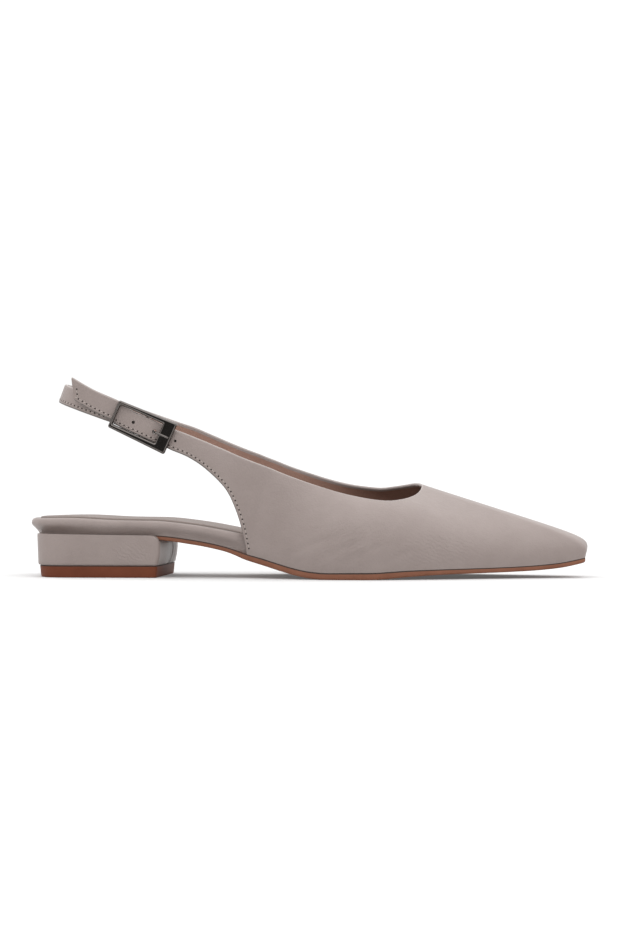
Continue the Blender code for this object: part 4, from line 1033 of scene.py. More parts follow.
def crease_depth(point, side):
    """How far the listed creases press one point of the vamp in, or raise it."""
    scale = np.array((LENGTH, INSTEP_HEIGHT))
    place = np.array((point[0], point[2] - feather_height(point[0])))
    depth = 0.0
    for crease_side, from_x, from_rise, to_x, to_rise, bow, width, trough in zip(*CREASES.values()):
        if crease_side != side:
            continue
        start, end = np.array((from_x, from_rise)) * scale, np.array((to_x, to_rise)) * scale
        run, offset = end - start, place - start
        share = float(offset @ run / (run @ run))
        if not CREASE_FADE[0] < share < CREASE_FADE[-1]:
            continue
        across = float(offset[1] * run[0] - offset[0] * run[1]) / float(np.linalg.norm(run))
        across = abs(across - bow * MM * 4 * share * (1 - share)) / (width * MM)
        fade = smoothstep(*CREASE_FADE[:2], share) * (1 - smoothstep(*CREASE_FADE[2:], share))
        ridge = RIDGE_SHARE * math.exp(-(across - RIDGE_PLACE) ** 2)
        depth += trough * MM * fade * (math.exp(-across ** 2) - ridge)
    return depth


def upper_grids():
    """The outer and inner grids of the upper and its ribs."""
    rows = rib_rows()
    for row in rows:
        row.count *= RIB_DETAIL
    ribs = blend_rows(rows)
    outer = np.array([rib_points(rib) for rib in ribs])
    normals = grid_normals(outer)
    inner = outer - normals * WALL
    for index, rib in enumerate(ribs):
        if rib.reach is None:
            continue
        side = LATERAL if rib.reach <= toe_reach(LATERAL) else MEDIAL
        inner[index, 0, 2] = outer[index, 0, 2]
        for step in range(1, RIB_SEGMENTS):
            outer[index, step] -= normals[index, step] * crease_depth(outer[index, step], side)
    outer[:, 0, 2] -= np.array([GAP if rib.reach is not None else 0.0 for rib in ribs])
    inner[:, 0, 2] -= np.array([GAP if rib.reach is not None else 0.0 for rib in ribs])
    return ribs, outer, inner


def upper_sections(ribs, outer, inner):
    """The closed loop of points round the wall at each rib."""
    sections = []
    for index, rib in enumerate(ribs):
        up = outer[index, -1] - outer[index, -2]
        up *= FOLD_RADIUS / np.linalg.norm(up)
        down = outer[index, 0] - outer[index, 1]
        down *= (FOLD_RADIUS if rib.reach is None else 0.0) / np.linalg.norm(down)
        loop = list(outer[index])
        loop += rim(outer[index, -1], inner[index, -1], up)
        loop += list(inner[index][::-1])
        loop += rim(inner[index, 0], outer[index, 0], down)
        sections.append(np.array(loop))
    return sections


def rounded_end(section, outward):
    """Two smaller loops that round off an end of the strap."""
    mean = section.mean(axis=0)
    loops = []
    for angle in END_ANGLES:
        shrink = FOLD_RADIUS * (1 - math.cos(angle))
        rise = outward * FOLD_RADIUS * math.sin(angle)
        sizes = np.linalg.norm(section - mean, axis=1)[:, None]
        loops.append(mean + (section - mean) * np.maximum(END_LEAST, 1 - shrink / sizes) + rise)
    return loops


def make_upper():
    """Vamp, quarters and heel strap: one hollow wall with folded edges, creases and holes."""
    ribs, outer, inner = upper_grids()
    sections = upper_sections(ribs, outer, inner)
    ends = []
    for last, before in ((sections[0], sections[1]), (sections[-1], sections[-2])):
        way = last.mean(axis=0) - before.mean(axis=0)
        ends.append(rounded_end(last, way / np.linalg.norm(way)))
    sections = ends[0][::-1] + sections + ends[1]
    points = [point for section in sections for point in section]
    faces = tube_faces(len(sections), len(sections[0]))
    # Slot 1 on the folded top rim is leather painted lighter: a painted highlight along the topline
    strip = [0] * RIB_SEGMENTS + [1] * (RIM_STEPS + 1)
    # Slot 3 on the lower rim is leather painted darker: painted shade along the cut-outs and the strap's
    # lower edges
    strip += [0] + [2] * (RIB_SEGMENTS - 1) + [3] * (RIM_STEPS + 1)
    slots = strip * (len(sections) - 1) + [0, 0]
    materials = (make_leather("upper_finish", LEATHER, patches=VAMP_PATCHES),
                 make_leather("upper_edge_painted_highlight", LEATHER_EDGE_HIGHLIGHT), make_leather("lining_finish", LINING, 0.6, 0.0),
                 make_leather("upper_cut_edge_painted_shade", CUT_EDGE_SHADE))
    upper = add_piece("upper_shell", points, faces, materials, slots)
    cut_holes(upper)
    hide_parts("upper")
    return ribs


def cut_holes(upper):
    """The strap's three holes and the slot for the prong."""
    points, faces = [], []
    for step, depth, size in STRAP_HOLES:
        u = PRONG_HOLE + step * HOLE_PITCH
        face = buckled_face(u)
        low = face - depth * (WALL + GAP / 2)
        radius = size * HOLE_RADIUS
        join(points, faces, *rod((((u, 0.0, low), radius), ((u, 0.0, face + WALL), radius))))
    half_slot = PRONG_WIDTH / 2 + GAP
    clearance = loop_radius() + GAP
    join(points, faces, *box((-eye_radius() - GAP, -half_slot, -BAR_DEPTH - clearance),
                             (clearance, half_slot, -BAR_DEPTH + loop_radius() + GAP / 2)))
    cutter = bpy.data.objects.new("strap_cutter", new_mesh("strap_cutter", points, faces))
    # The holes' walls are painted near-black: painted shade inside the strap's holes
    cutter.data.materials.append(make_plain("hole_wall_shade", HOLE_SHADE, 0.8))
    bpy.context.scene.collection.objects.link(cutter)
    cutter.location.x = -SHOE_SHIFT
    modifier = upper.modifiers.new("holes", "BOOLEAN")
    modifier.operation = "DIFFERENCE"
    modifier.object = cutter
    modifier.solver = "EXACT"
    modifier.material_mode = "TRANSFER"
    apply_modifiers(upper)
    bpy.data.objects.remove(cutter, do_unlink=True)


def apply_modifiers(piece):
    """Leave a piece with the mesh that its modifiers make."""
    bpy.context.view_layer.update()
    result = bpy.data.meshes.new_from_object(piece.evaluated_get(bpy.context.evaluated_depsgraph_get()))
    piece.modifiers.clear()
    piece.data = result


def stacked_faces(rings, size):
    """Faces between rings that lie one above the other."""
    faces = []
    for level in range(rings - 1):
        for index in range(size):
            following = (index + 1) % size
            base, above = level * size, (level + 1) * size
            faces.append((base + index, base + following, above + following, above + index))
    return faces


def tube_faces(rings, size):
    """Faces of a closed stack of rings: its sides and both ends."""
    last = (rings - 1) * size
    return stacked_faces(rings, size) + [tuple(range(size))[::-1], tuple(range(last, last + size))]


def join(points, faces, more_points, more_faces):
    """Add one more closed body to the points and faces so far."""
    shift = len(points)
    points.extend(more_points)
    faces.extend(tuple(corner + shift for corner in face) for face in more_faces)


def add_cap(points, faces, first, size, dish):
    """A cap across one ring, in strips between its lateral and medial halves."""
    half = size // 2
    rows = []
    for index in range(1, half):
        left, right = first + index, first + size - index
        row = [left]
        start, end = np.array(points[left]), np.array(points[right])
        for share in np.arange(1, CAP_COLUMNS) / CAP_COLUMNS:
            place = start + (end - start) * share
            place[2] -= dish(place[0]) * 4 * share * (1 - share)
            row.append(len(points))
            points.append(tuple(place))
        rows.append(row + [right])
    for left, right in zip(rows[0], rows[0][1:]):
        faces.append((first, left, right))
    for row, following in zip(rows, rows[1:]):
        for index in range(CAP_COLUMNS):
            faces.append((row[index], following[index], following[index + 1], row[index + 1]))
    for left, right in zip(rows[-1], rows[-1][1:]):
        faces.append((left, first + half, right))


def new_mesh(name, points, faces):
    """A closed mesh with its faces outward."""
    mesh = bpy.data.meshes.new(name)
    mesh.from_pydata([tuple(map(float, point)) for point in points], [], faces)
    work = bmesh.new()
    work.from_mesh(mesh)
    bmesh.ops.recalc_face_normals(work, faces=work.faces)
    if work.calc_volume(signed=True) < 0:
        bmesh.ops.reverse_faces(work, faces=work.faces)
    work.to_mesh(mesh)
    work.free()
    return mesh


def add_piece(name, points, faces, materials, slots, smooth_angle=50):
    """A visible piece that rides on the shoe, in place in the shared frame."""
    moved = np.array(points, dtype=float)
    moved[:, 0] -= SHOE_SHIFT
    mesh = new_mesh(name, moved, faces)
    for material in materials:
        mesh.materials.append(material)
    if slots is not None:
        mesh.polygons.foreach_set("material_index", slots)
    mesh.shade_smooth()
    mesh.set_sharp_from_angle(angle=math.radians(smooth_angle))
    piece = bpy.data.objects.new(name, mesh)
    bpy.context.scene.collection.objects.link(piece)
    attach(piece, "root")
    return piece


def add_layered(name, rings, materials, bottom_dish, top_dish, smooth_angle=50, shade_rings=0):
    """A closed piece from stacked rings with a cap at either end, and painted shade in its top rings along
    the seam.
    """
    size = len(rings[0])
    points = [point for level in rings for point in level]
    faces = stacked_faces(len(rings), size)
    first = len(faces) - shade_rings * size
    slots = [1 if index >= first else 0 for index in range(len(faces))]
    add_cap(points, faces, 0, size, bottom_dish)
    add_cap(points, faces, (len(rings) - 1) * size, size, top_dish)
    slots += [0] * (len(faces) - len(slots))
    return add_piece(name, points, faces, materials, slots, smooth_angle)


def flat(_):
    """No dish."""
    return 0.0


def box(low, high):
    """Points and faces of a box between two corners in the buckle's frame."""
    points = []
    for n in (low[2], high[2]):
        for u, v in ((low[0], low[1]), (high[0], low[1]), (high[0], high[1]), (low[0], high[1])):
            points.append(buckle_point(u, v, n))
    return points, tube_faces(2, 4)


def rod(path):
    """Points and faces of a round rod along points with a radius each, in the buckle's frame."""
    centres = [np.array(point) for point, _ in path]
    points = []
    for index, (_, radius) in enumerate(path):
        forward = centres[min(index + 1, len(path) - 1)] - centres[max(index - 1, 0)]
        forward /= np.linalg.norm(forward)
        helper = (0.0, 1.0, 0.0) if abs(forward[1]) < 0.9 else (1.0, 0.0, 0.0)
        first = np.cross(forward, helper)
        first /= np.linalg.norm(first)
        points += circle(centres[index], first, np.cross(forward, first), radius, TUBE_SIDES)
    return [buckle_point(*point) for point in points], tube_faces(len(path), TUBE_SIDES)


def make_footbed():
    """The wrapped footbed with its smooth rounded edge."""
    levels = (1 - np.cos(np.linspace(0, math.pi, EDGE_RINGS))) / 2
    profile = [(pchip(FOOTBED_EDGE["level"], FOOTBED_EDGE["undercut"], level), level) for level in levels]

    def inset(x, undercut):
        return covered_inset(x) + undercut * undercut_depth(x)

    def height(x, level):
        bottom = feather_height(x)
        return bottom + (footbed_top(x) - bottom) * level

    piece = add_layered("footbed_wrap", layer_rings(profile, inset, height),
                        (make_leather("footbed_finish", LEATHER),), flat, footbed_dish)
    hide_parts("footbed")


def make_sock():
    """The thin sock lining on the footbed."""
    def inset(x, trim):
        margin = SOCK_MARGIN + (SOCK_MARGIN_COVERED - SOCK_MARGIN) * covered(x)
        edge = FOOTBED_EDGE["undercut"][-1] * undercut_depth(x)
        return covered_inset(x) + edge + margin + trim * SOCK_THICKNESS

    def height(x, level):
        return footbed_top(x) + level * (GAP + SOCK_THICKNESS)

    finish = make_leather("sock_finish", SOCK, 0.55, 0.0)
    piece = add_layered("sock_lining", layer_rings(SOCK_EDGE, inset, height), (finish,),
                        footbed_dish, footbed_dish)
    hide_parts("sock")


def make_outsole():
    """The thin outsole with its smooth edge."""
    def inset(x, bevel):
        return FOOTBED_UNDERCUT * OUTSOLE_INSET_SHARE * (1 - covered(x)) + bevel * OUTSOLE_BEVEL

    def height(x, level):
        return tread_height(x) + (feather_height(x) - tread_height(x)) * level

    rings = layer_rings(OUTSOLE_PROFILE, inset, height, HEEL_SETBACK + HEEL_LENGTH - HEEL_REBATE + GAP)
    # The top two rings of the outsole's edge are painted dark: painted shade between the upper and the sole
    materials = (make_rubber("outsole_finish", SOLE_EDGE, *SOLE_GRAIN), make_plain("outsole_seam_shade", SEAM_SHADE, 0.7))
    piece = add_layered("outsole_edge", rings, materials, flat, flat, shade_rings=2)
    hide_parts("outsole")


def breast_offset(y, share):
    """How far the heel's breast stands out: a lean, a curved seam and soft pleats."""
    near, far = (float(np.interp(share, BREAST_LEAN["share"], BREAST_LEAN[end])) for end in ("near", "far"))
    offset = (near + (far - near) * smoothstep(-HEEL_WIDTH / 2, -HEEL_WIDTH / 8, y)) * MM
    for place, bend, depth, width in zip(*PLEATS.values()):
        middle = (place - bend * (2 * share - 1) ** 2) * MM
        offset -= depth * MM * math.exp(-((y - middle) / (width * MM)) ** 2)
    return offset


def with_breast(loop, front, share):
    """A heel ring with a finely divided breast that carries its folds."""
    half = len(loop) // 2
    start, end = np.array(loop[half - 1]), np.array(loop[half + 1])
    run = [tuple(start + (end - start) * step) for step in np.linspace(0, 1, BREAST_POINTS + 2)[1:-1]]
    moved = []
    for x, y, z in loop[:half] + run + loop[half + 1:]:
        weight = smoothstep(front - BREAST_REACH, front, x)
        moved.append((x + weight * breast_offset(y, share), y, z))
    return moved


def corner_cut(fall):
    """How far the heel's rounded upper corner lies back at a fall from the feather line."""
    depth = max(0.0, 1 - fall / CORNER_FALL)
    return CORNER_RUN * (1 - math.sqrt(1 - depth ** 2))


def make_heel_block():
    """The covered heel block, with the wrap's folds on its breast and its rounded upper corners."""
    front = HEEL_SETBACK + HEEL_LENGTH
    shoulder = front - HEEL_REBATE + GAP / 2
    low = LIFT_HEIGHT + HEEL_SEAM + HEEL_HEM_HEIGHT
    rings = []
    for trim, rise in HEEL_HEM:
        narrow = trim * HEEL_HEM_HEIGHT
        loop = heel_loop(front - narrow, HEEL_TAPER + narrow, lambda _: low - (1 - rise) * HEEL_HEM_HEIGHT)
        rings.append(with_breast(loop, front - narrow, 0.0))
    for share, step in [(share, 0.0) for share in HEEL_SHARES] + [(1.0, step) for step in TAB_STEPS]:
        def height(x):
            tread = tread_height(x) - GAP
            return low + (tread - low) * share + (feather_height(x) - tread) * step

        cut = front - corner_cut(feather_height(front) - height(front))
        loop = with_breast(heel_loop(cut, HEEL_TAPER * (1 - share), height), cut, share)
        if share == 1.0:
            loop = [(min(x, shoulder) if abs(y) < TAB_INSIDE else x, y, z) for x, y, z in loop]
        rings.append(loop)
    points = [point for level in rings for point in level]
    finish = make_leather("heel_finish", LEATHER, patches=HEEL_PATCHES)
    piece = add_piece("heel_wrap", points, tube_faces(len(rings), len(rings[0])), (finish,), None,
                      40)
    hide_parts("heel_block")


def make_top_lift():
    """The brown top lift, with its front further out towards the inner side."""
    front = HEEL_SETBACK + HEEL_LENGTH - LIFT_FRONT_INSET
    inset = HEEL_TAPER + LIFT_INSET
    rows = [(LIFT_TAPER + trim * LIFT_EDGE, level * LIFT_EDGE) for trim, level in LIFT_FOOT]
    rows += [(LIFT_TAPER * (1 - share), share * LIFT_HEIGHT) for share in LIFT_SHARES]
    rings = []
    for narrow, level in rows + [(LIFT_TOP_INSET, LIFT_HEIGHT)]:
        points = []
        for x, y, z in heel_loop(front - narrow, inset + narrow, lambda _: level):
            skew = LIFT_SKEW * smoothstep(-HEEL_WIDTH / 2, HEEL_WIDTH / 2, y)
            points.append((x + smoothstep(front - BREAST_REACH, front, x) * skew, y, z))
        rings.append(points)
    # The lift's top ring is painted dark: painted shade in the joint under the heel's wrap
    materials = (make_rubber("lift_finish", LIFT_BROWN, *LIFT_GRAIN), make_plain("lift_seam_shade", SEAM_SHADE, 0.7))
    piece = add_layered("lift_layer", rings, materials, flat, flat, 40, shade_rings=1)
    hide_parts("top_lift")


def rounded_outline(low, high, radius, level, flare=0.0):
    """A rounded rectangle in the buckle's plane, higher towards the plate by a flare."""
    corners = (
        (high[0] - radius, high[1] - radius, 0),
        (low[0] + radius, high[1] - radius, 90),
        (low[0] + radius, low[1] + radius, 180),
        (high[0] - radius, low[1] + radius, 270),
    )
    points = []
    for u, v, start in corners:
        for angle in np.radians(np.linspace(start, start + 90, OUTLINE_POINTS)):
            along, across = u + radius * math.cos(angle), v + radius * math.sin(angle)
            points.append(buckle_point(along, across * (1 + flare * along / (BUCKLE_LENGTH / 2)), level))
    return points


def make_buckle():
    """The mirror-polished frame with its bar, and the prong."""
    half = np.array((BUCKLE_LENGTH / 2, BUCKLE_HEIGHT / 2))
    low = np.array((-half[0] + KEEPER_WIDTH, -STRAP_WIDTH / 2 - WINDOW_MARGIN + SILL))
    high = np.array((half[0] - PLATE_WIDTH, STRAP_WIDTH / 2 + WINDOW_MARGIN))
    bars = np.array((KEEPER_WIDTH, half[1] * (1 - BUCKLE_FLARE) - high[1]))
    outside, window = [], []
    for inset, level in FRAME_PROFILE:
        edge = inset * bars
        z = level * BUCKLE_THICKNESS
        corner = max(BUCKLE_CORNER - edge[0], CORNER_LEAST)
        outside.append(rounded_outline(-half + edge, half - edge, corner, z, BUCKLE_FLARE))
        window.append(rounded_outline(low - edge, high + edge, WINDOW_CORNER, z))
    loops = outside + window[::-1]
    size = len(loops[0])
    points = [point for loop in loops for point in loop]
    faces = [tuple(corner % len(points) for corner in face) for face in stacked_faces(len(loops) + 1, size)]
    inside = STRAP_WIDTH / 2 + WINDOW_MARGIN + LUG_INSET
    for side in (-1, 1):
        edges = sorted((side * inside, side * (inside + LUG_WIDTH)))
        join(points, faces, *box((-LUG_WIDTH / 2, edges[0], -BAR_DEPTH - BAR_RADIUS - LUG_OVERHANG),
                                 (LUG_WIDTH / 2, edges[1], BUCKLE_THICKNESS / 2)))
    end = inside + LUG_WIDTH / 2
    join(points, faces, *rod((((0.0, -end, -BAR_DEPTH), BAR_RADIUS), ((0.0, end, -BAR_DEPTH), BAR_RADIUS))))
    metal = make_gunmetal()
    piece = add_piece("buckle_plate", points, faces, (metal,), None, 35)
    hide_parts("buckle_frame")
    make_prong(metal)


def make_prong(metal):
    """The prong: an eye round the bar, a bend up through the hole and a tip on the plate."""
    eye = eye_radius()
    points = []
    for v, radius in ((-1, BAR_RADIUS + GAP), (-1, eye), (1, eye), (1, BAR_RADIUS + GAP)):
        centre = np.array((0.0, v * PRONG_WIDTH / 2, -BAR_DEPTH))
        around = circle(centre, np.array((1.0, 0.0, 0.0)), np.array((0.0, 0.0, 1.0)), radius, EYE_SIDES)
        points += [buckle_point(*place) for place in around]
    faces = [tuple(corner % len(points) for corner in face) for face in stacked_faces(5, EYE_SIDES)]
    under = -BAR_DEPTH + PRONG_EYE_SHARE * eye
    rest = BUCKLE_THICKNESS + GAP + PRONG_RADIUS
    path = [(PRONG_EYE_REACH * eye, under + PRONG_EYE_LIFT * PRONG_RADIUS, 1.0)]
    path += [(share * PRONG_HOLE, under + lift * PRONG_RADIUS, 1.0) for share, lift in PRONG_UNDER]
    path += [(PRONG_HOLE, -WALL, 1.0), (PRONG_HOLE, GAP, 1.0)]
    path += [(PRONG_HOLE + past * PRONG_RADIUS, share * rest, 1.0) for past, share in PRONG_BEND]
    for share, lift, radius in PRONG_POINT:
        path.append((share * BUCKLE_LENGTH / 2, rest + lift * PRONG_RADIUS, radius))
    join(points, faces, *rod([((u, 0.0, n), radius * PRONG_RADIUS) for u, n, radius in path]))
    piece = add_piece("prong_pin", points, faces, (metal,), None, 35)
    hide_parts("buckle_prong")


def rib_place(rib, margin):
    """The point of a rib at a distance from its lower end."""
    _, line, lengths = rib_line(rib)
    return point_at(margin, lengths, line)


def edge_path(ribs, margin):
    """Points on each rib at a margin square to the lower edge, with the outward normals there."""
    feet = np.array([rib.foot for rib in ribs])
    edge = np.gradient(feet, axis=0)
    rise = np.array([rib_place(rib, MM) for rib in ribs]) - feet
    square = np.linalg.norm(np.cross(edge, rise), axis=1)
    square /= np.linalg.norm(edge, axis=1) * np.linalg.norm(rise, axis=1)
    reach = margin / np.maximum(square, SQUARE_LEAST)
    places = np.array([rib_place(rib, along) for rib, along in zip(ribs, reach)])
    ups = np.array([rib_place(rib, along + MM) for rib, along in zip(ribs, reach)]) - places
    normals = np.cross(np.gradient(places, axis=0), ups)
    return places, normals / np.linalg.norm(normals, axis=1)[:, None]


def to_the_sole(places, normals, start):
    """The stitch line drawn on from its lower end to just above the sole."""
    ends = (-1, -2) if start == 0 else (0, 1)
    last, before = places[ends[0]], places[ends[1]]
    way = (last - before) / np.linalg.norm(last - before)
    reach = (last[2] - feather_height(last[0])) / max(-way[2], SQUARE_LEAST) - STITCH_LENGTH / 2
    point, normal = (last + way * max(reach, TINY))[None], normals[ends[0]][None]
    if start == 0:
        return np.vstack((places, point)), np.vstack((normals, normal))
    return np.vstack((point, places)), np.vstack((normal, normals))


def end_path(ribs, margin):
    """Points up the strap at a margin in from its end, with the outward normals there."""
    middles = np.array([rib_place(rib, STRAP_WIDTH / 2) for rib in ribs])
    index = int(np.searchsorted(lengths_along(middles), margin))
    rises = np.linspace(margin, STRAP_WIDTH - margin, END_STEPS)
    places = np.array([rib_place(ribs[index], rise) for rise in rises])
    ahead = middles[index + 1] - middles[index]
    normal = np.cross(ahead, places[-1] - places[0])
    return places, np.tile(normal / np.linalg.norm(normal), (len(places), 1))


def add_stitches(places, normals, threads, holes):
    """Threads and needle holes at even steps along a line on the leather."""
    lengths = lengths_along(places)
    for index in range(int(lengths[-1] / STITCH_PITCH)):
        start = (index + 0.5) * STITCH_PITCH
        normal = point_at(start, lengths, normals)
        normal /= np.linalg.norm(normal)
        first, last = point_at(np.array((-0.5, 0.5)) * STITCH_LENGTH + start, lengths, places).T
        threads.append((first, last, normal))
        holes.append((point_at(start + STITCH_PITCH / 2, lengths, places), normal))


def make_stitches(ribs):
    """The stitches along the cut-outs, the strap's lower edge and the tail's end."""
    threads, holes = [], []
    seated = [index for index, rib in enumerate(ribs) if rib.reach is not None]
    for start, end in ((0, seated[0] + 1), (seated[-1], len(ribs))):
        places, normals = edge_path(ribs[start:end], STITCH_MARGIN)
        add_stitches(*to_the_sole(places, normals, start), threads, holes)
    add_stitches(*end_path(ribs[:seated[0]], STITCH_MARGIN), threads, holes)
    points, faces = [], []
    for first, last, normal in threads:
        along = last - first
        across = np.cross(normal, along / np.linalg.norm(along))
        body = []
        for share, size, rise in STITCH_SHAPE:
            centre = first + along * share + normal * rise * STITCH_RADIUS
            body += circle(centre, across, normal, size * STITCH_RADIUS, STITCH_SIDES)
        join(points, faces, body, tube_faces(len(STITCH_SHAPE), STITCH_SIDES))
    slots = [0] * len(faces)
    # Each needle hole is a small dark disc: painted shade inside the hole
    for centre, normal in holes:
        across = np.cross(normal, (0.0, 0.0, 1.0))
        across /= np.linalg.norm(across)
        body = []
        for level in HOLE_LEVELS:
            middle = centre + normal * level * STITCH_HOLE
            body += circle(middle, across, np.cross(across, normal), STITCH_HOLE, HOLE_SIDES)
        join(points, faces, body, tube_faces(2, HOLE_SIDES))
    slots += [1] * (len(faces) - len(slots))
    materials = (make_plain("thread", THREAD, 0.6), make_plain("needle_hole_shade", HOLE_SHADE, 0.9))
    add_piece("stitching", points, faces, materials, slots)


def fill(node, **values):
    """Set some of a node's inputs, named with an underscore for each space."""
    for name, value in values.items():
        node.inputs[name.replace("_", " ")].default_value = value


def new_material(name, colours=None, waves=0.0, detail=4.0, roughness=0.55):
    """A material with its shader, mottled between two colours if they are given."""
    material = bpy.data.materials.new(name)
    material.use_nodes = True
    nodes, links = material.node_tree.nodes, material.node_tree.links
    shader = nodes["Principled BSDF"]
    if colours is None:
        return material, shader
    coordinates = nodes.new("ShaderNodeTexCoord").outputs["Object"]
    cloud = add_noise(nodes, links, coordinates, waves, detail, roughness)
    tone = add_ramp(nodes, links, cloud, ((0.3, colours[0]), (0.7, colours[1])))
    links.new(tone, shader.inputs["Base Color"])
    return material, nodes, links, shader, coordinates


def make_plain(name, colour, roughness):
    """One even colour."""
    material, shader = new_material(name)
    fill(shader, Base_Color=(*colour, 1.0), Roughness=roughness)
    return material


def add_noise(nodes, links, coordinates, scale, detail=4.0, roughness=0.55):
    """A noise texture with that many waves a metre."""
    noise = nodes.new("ShaderNodeTexNoise")
    fill(noise, Scale=scale, Detail=detail, Roughness=roughness)
    links.new(coordinates, noise.inputs["Vector"])
    return noise.outputs["Fac"]


def add_ramp(nodes, links, source, stops):
    """A colour ramp with its stops."""
    ramp = nodes.new("ShaderNodeValToRGB")
    elements = ramp.color_ramp.elements
    for index, (place, colour) in enumerate(stops):
        element = elements[index] if index < 2 else elements.new(place)
        element.position = place
        element.color = (*colour, 1.0)
    links.new(source, ramp.inputs["Fac"])
    return ramp.outputs["Color"]


def add_bump(nodes, links, height, strength, distance, below=None):
    """A bump node, on top of another one if given."""
    bump = nodes.new("ShaderNodeBump")
    fill(bump, Strength=strength, Distance=distance)
    links.new(height, bump.inputs["Height"])
    if below is not None:
        links.new(below, bump.inputs["Normal"])
    return bump.outputs["Normal"]


def add_patch(nodes, links, coordinates, patch, below):
    """Fine wrinkles in one given patch: place, size, slant in degrees, wave and strength."""
    place, size, slant, wave, strength = patch
    mapping = nodes.new("ShaderNodeMapping")
    mapping.vector_type = "TEXTURE"
    fill(mapping, Location=place, Scale=size)
    links.new(coordinates, mapping.inputs["Vector"])
    reach = nodes.new("ShaderNodeVectorMath")
    reach.operation = "LENGTH"
    links.new(mapping.outputs["Vector"], reach.inputs[0])
    mask = add_ramp(nodes, links, reach.outputs["Value"], ((PATCH_CORE, (1, 1, 1)), (1.0, (0, 0, 0))))
    turned = nodes.new("ShaderNodeMapping")
    fill(turned, Rotation=(0.0, math.radians(slant), 0.0))
    links.new(coordinates, turned.inputs["Vector"])
    bands = nodes.new("ShaderNodeTexWave")
    bands.bands_direction = "Z"
    fill(bands, Scale=BAND_SCALE / wave, Distortion=9.0, Detail=4.0, Detail_Scale=1.6, Detail_Roughness=0.6)
    links.new(turned.outputs["Vector"], bands.inputs["Vector"])
    product = nodes.new("ShaderNodeMath")
    product.operation = "MULTIPLY"
    links.new(bands.outputs["Fac"], product.inputs[0])
    links.new(mask, product.inputs[1])
    return add_bump(nodes, links, product.outputs["Value"], strength, PATCH_DEPTH, below)


def make_leather(name, colours, roughness=0.46, coat=0.12, patches=()):
    """Semi-matt fine-grained leather: soft mottling, fine pores, faint wrinkles and its patches."""
    material, nodes, links, shader, coordinates = new_material(name, colours, 60, 6.0, 0.62)
    grain = nodes.new("ShaderNodeTexVoronoi")
    fill(grain, Scale=PORES, Randomness=1.0)
    links.new(coordinates, grain.inputs["Vector"])
    pores = add_bump(nodes, links, grain.outputs["Distance"], 0.35, PORE_DEPTH)
    wrinkles = add_noise(nodes, links, coordinates, WRINKLES, 5.0, 0.6)
    normal = add_bump(nodes, links, wrinkles, 0.3, WRINKLE_DEPTH, pores)
    for patch in patches:
        normal = add_patch(nodes, links, coordinates, patch, normal)
    links.new(normal, shader.inputs["Normal"])
    fill(shader, Roughness=roughness, Specular_IOR_Level=0.4, Coat_Weight=coat, Coat_Roughness=0.35)
    return material


def make_rubber(name, colours, waves, grain_waves, strength, depth):
    """Satin brown rubber with a fine grain."""
    material, nodes, links, shader, coordinates = new_material(name, colours, waves)
    grain = add_noise(nodes, links, coordinates, grain_waves)
    links.new(add_bump(nodes, links, grain, strength, depth), shader.inputs["Normal"])
    fill(shader, Roughness=0.6, Specular_IOR_Level=0.2)
    return material


def make_gunmetal():
    """Near-black mirror polish."""
    material, _, _, shader, _ = new_material("gunmetal_finish", GUNMETAL, 300, 3.0)
    fill(shader, Metallic=1.0, Roughness=METAL_ROUGHNESS)
    return material


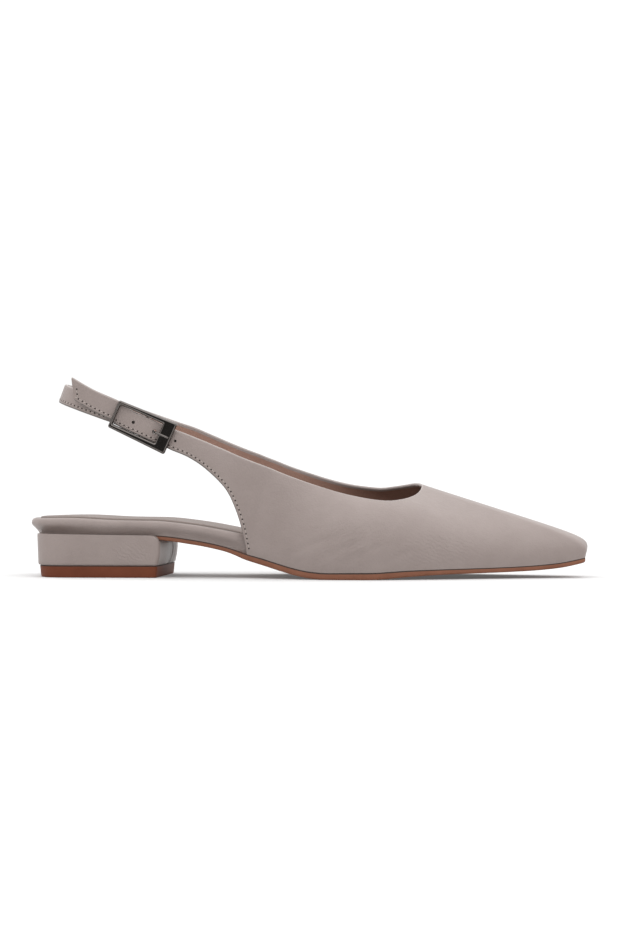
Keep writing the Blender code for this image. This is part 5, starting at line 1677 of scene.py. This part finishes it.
def make_surround():
    """The studio round the shoe: white behind it, bright above its outer side, dim at the camera."""
    world = bpy.data.worlds.new("studio")
    bpy.context.scene.world = world
    world.use_nodes = True
    nodes, links = world.node_tree.nodes, world.node_tree.links
    way = nodes.new("ShaderNodeSeparateXYZ")
    links.new(nodes.new("ShaderNodeTexCoord").outputs["Generated"], way.inputs["Vector"])
    turn = nodes.new("ShaderNodeMapRange")
    turn.inputs["From Min"].default_value, turn.inputs["From Max"].default_value = SKY_TURN
    links.new(way.outputs["Y"], turn.inputs["Value"])
    blend = nodes.new("ShaderNodeMix")
    blend.data_type = "RGBA"
    links.new(turn.outputs["Result"], blend.inputs["Factor"])
    for socket, stops in ((6, SKY_FRONT), (7, SKY_BACK)):
        side = add_ramp(nodes, links, way.outputs["Z"], [(place, (tone,) * 3) for place, tone in stops])
        links.new(side, blend.inputs[socket])
    surround = nodes["Background"]
    links.new(blend.outputs[2], surround.inputs["Color"])
    fill(surround, Strength=SKY_STRENGTH)


def make_studio():
    """A plain pale floor and the surround."""
    scene = bpy.context.scene
    make_surround()
    mesh = bpy.data.meshes.new("floor")
    corners = [(x * FLOOR_REACH, y * FLOOR_REACH, 0) for x, y in ((-1, -1), (1, -1), (1, 1), (-1, 1))]
    mesh.from_pydata(corners, [], [(0, 1, 2, 3)])
    finish = make_plain("floor_white", FLOOR_TONE, 0.9)
    glow = finish.node_tree.nodes["Principled BSDF"]
    fill(glow, Emission_Color=(1.0, 1.0, 1.0, 1.0), Emission_Strength=FLOOR_GLOW)
    mesh.materials.append(finish)
    floor = bpy.data.objects.new("floor", mesh)
    scene.collection.objects.link(floor)
    scene.view_settings.view_transform = "Standard"
    scene.view_settings.look = "None"
    scene.view_settings.exposure = 0.0
    scene.view_settings.gamma = 1.0


def make_camera():
    """The photograph's view: level, from the outer side, turned a little to the front."""
    lens = bpy.data.cameras.new("photo_camera")
    lens.lens = FOCAL_PIXELS * SENSOR / PHOTO_HEIGHT
    lens.sensor_width = SENSOR
    lens.sensor_fit = "AUTO"
    camera = bpy.data.objects.new("photo_camera", lens)
    bpy.context.scene.collection.objects.link(camera)
    camera.location = (
        CAMERA_AIM_X - SHOE_SHIFT + CAMERA_DISTANCE * math.sin(CAMERA_YAW),
        -CAMERA_DISTANCE * math.cos(CAMERA_YAW),
        CAMERA_HEIGHT,
    )
    camera.rotation_euler = (math.pi / 2, 0, CAMERA_YAW)
    bpy.context.scene.camera = camera


def clear_defaults():
    """Remove what a new Blender file holds beside the frame."""
    kept = set(frame["nodes"].values()) | set(frame["bodies"].values())
    for item in list(bpy.data.objects):
        if item not in kept:
            bpy.data.objects.remove(item, do_unlink=True)


def make_scene():
    """The whole shoe, its studio and its camera."""
    clear_defaults()
    make_camera()
    make_studio()
    make_outsole()
    make_top_lift()
    make_heel_block()
    make_footbed()
    make_sock()
    make_stitches(make_upper())
    make_buckle()


make_scene()
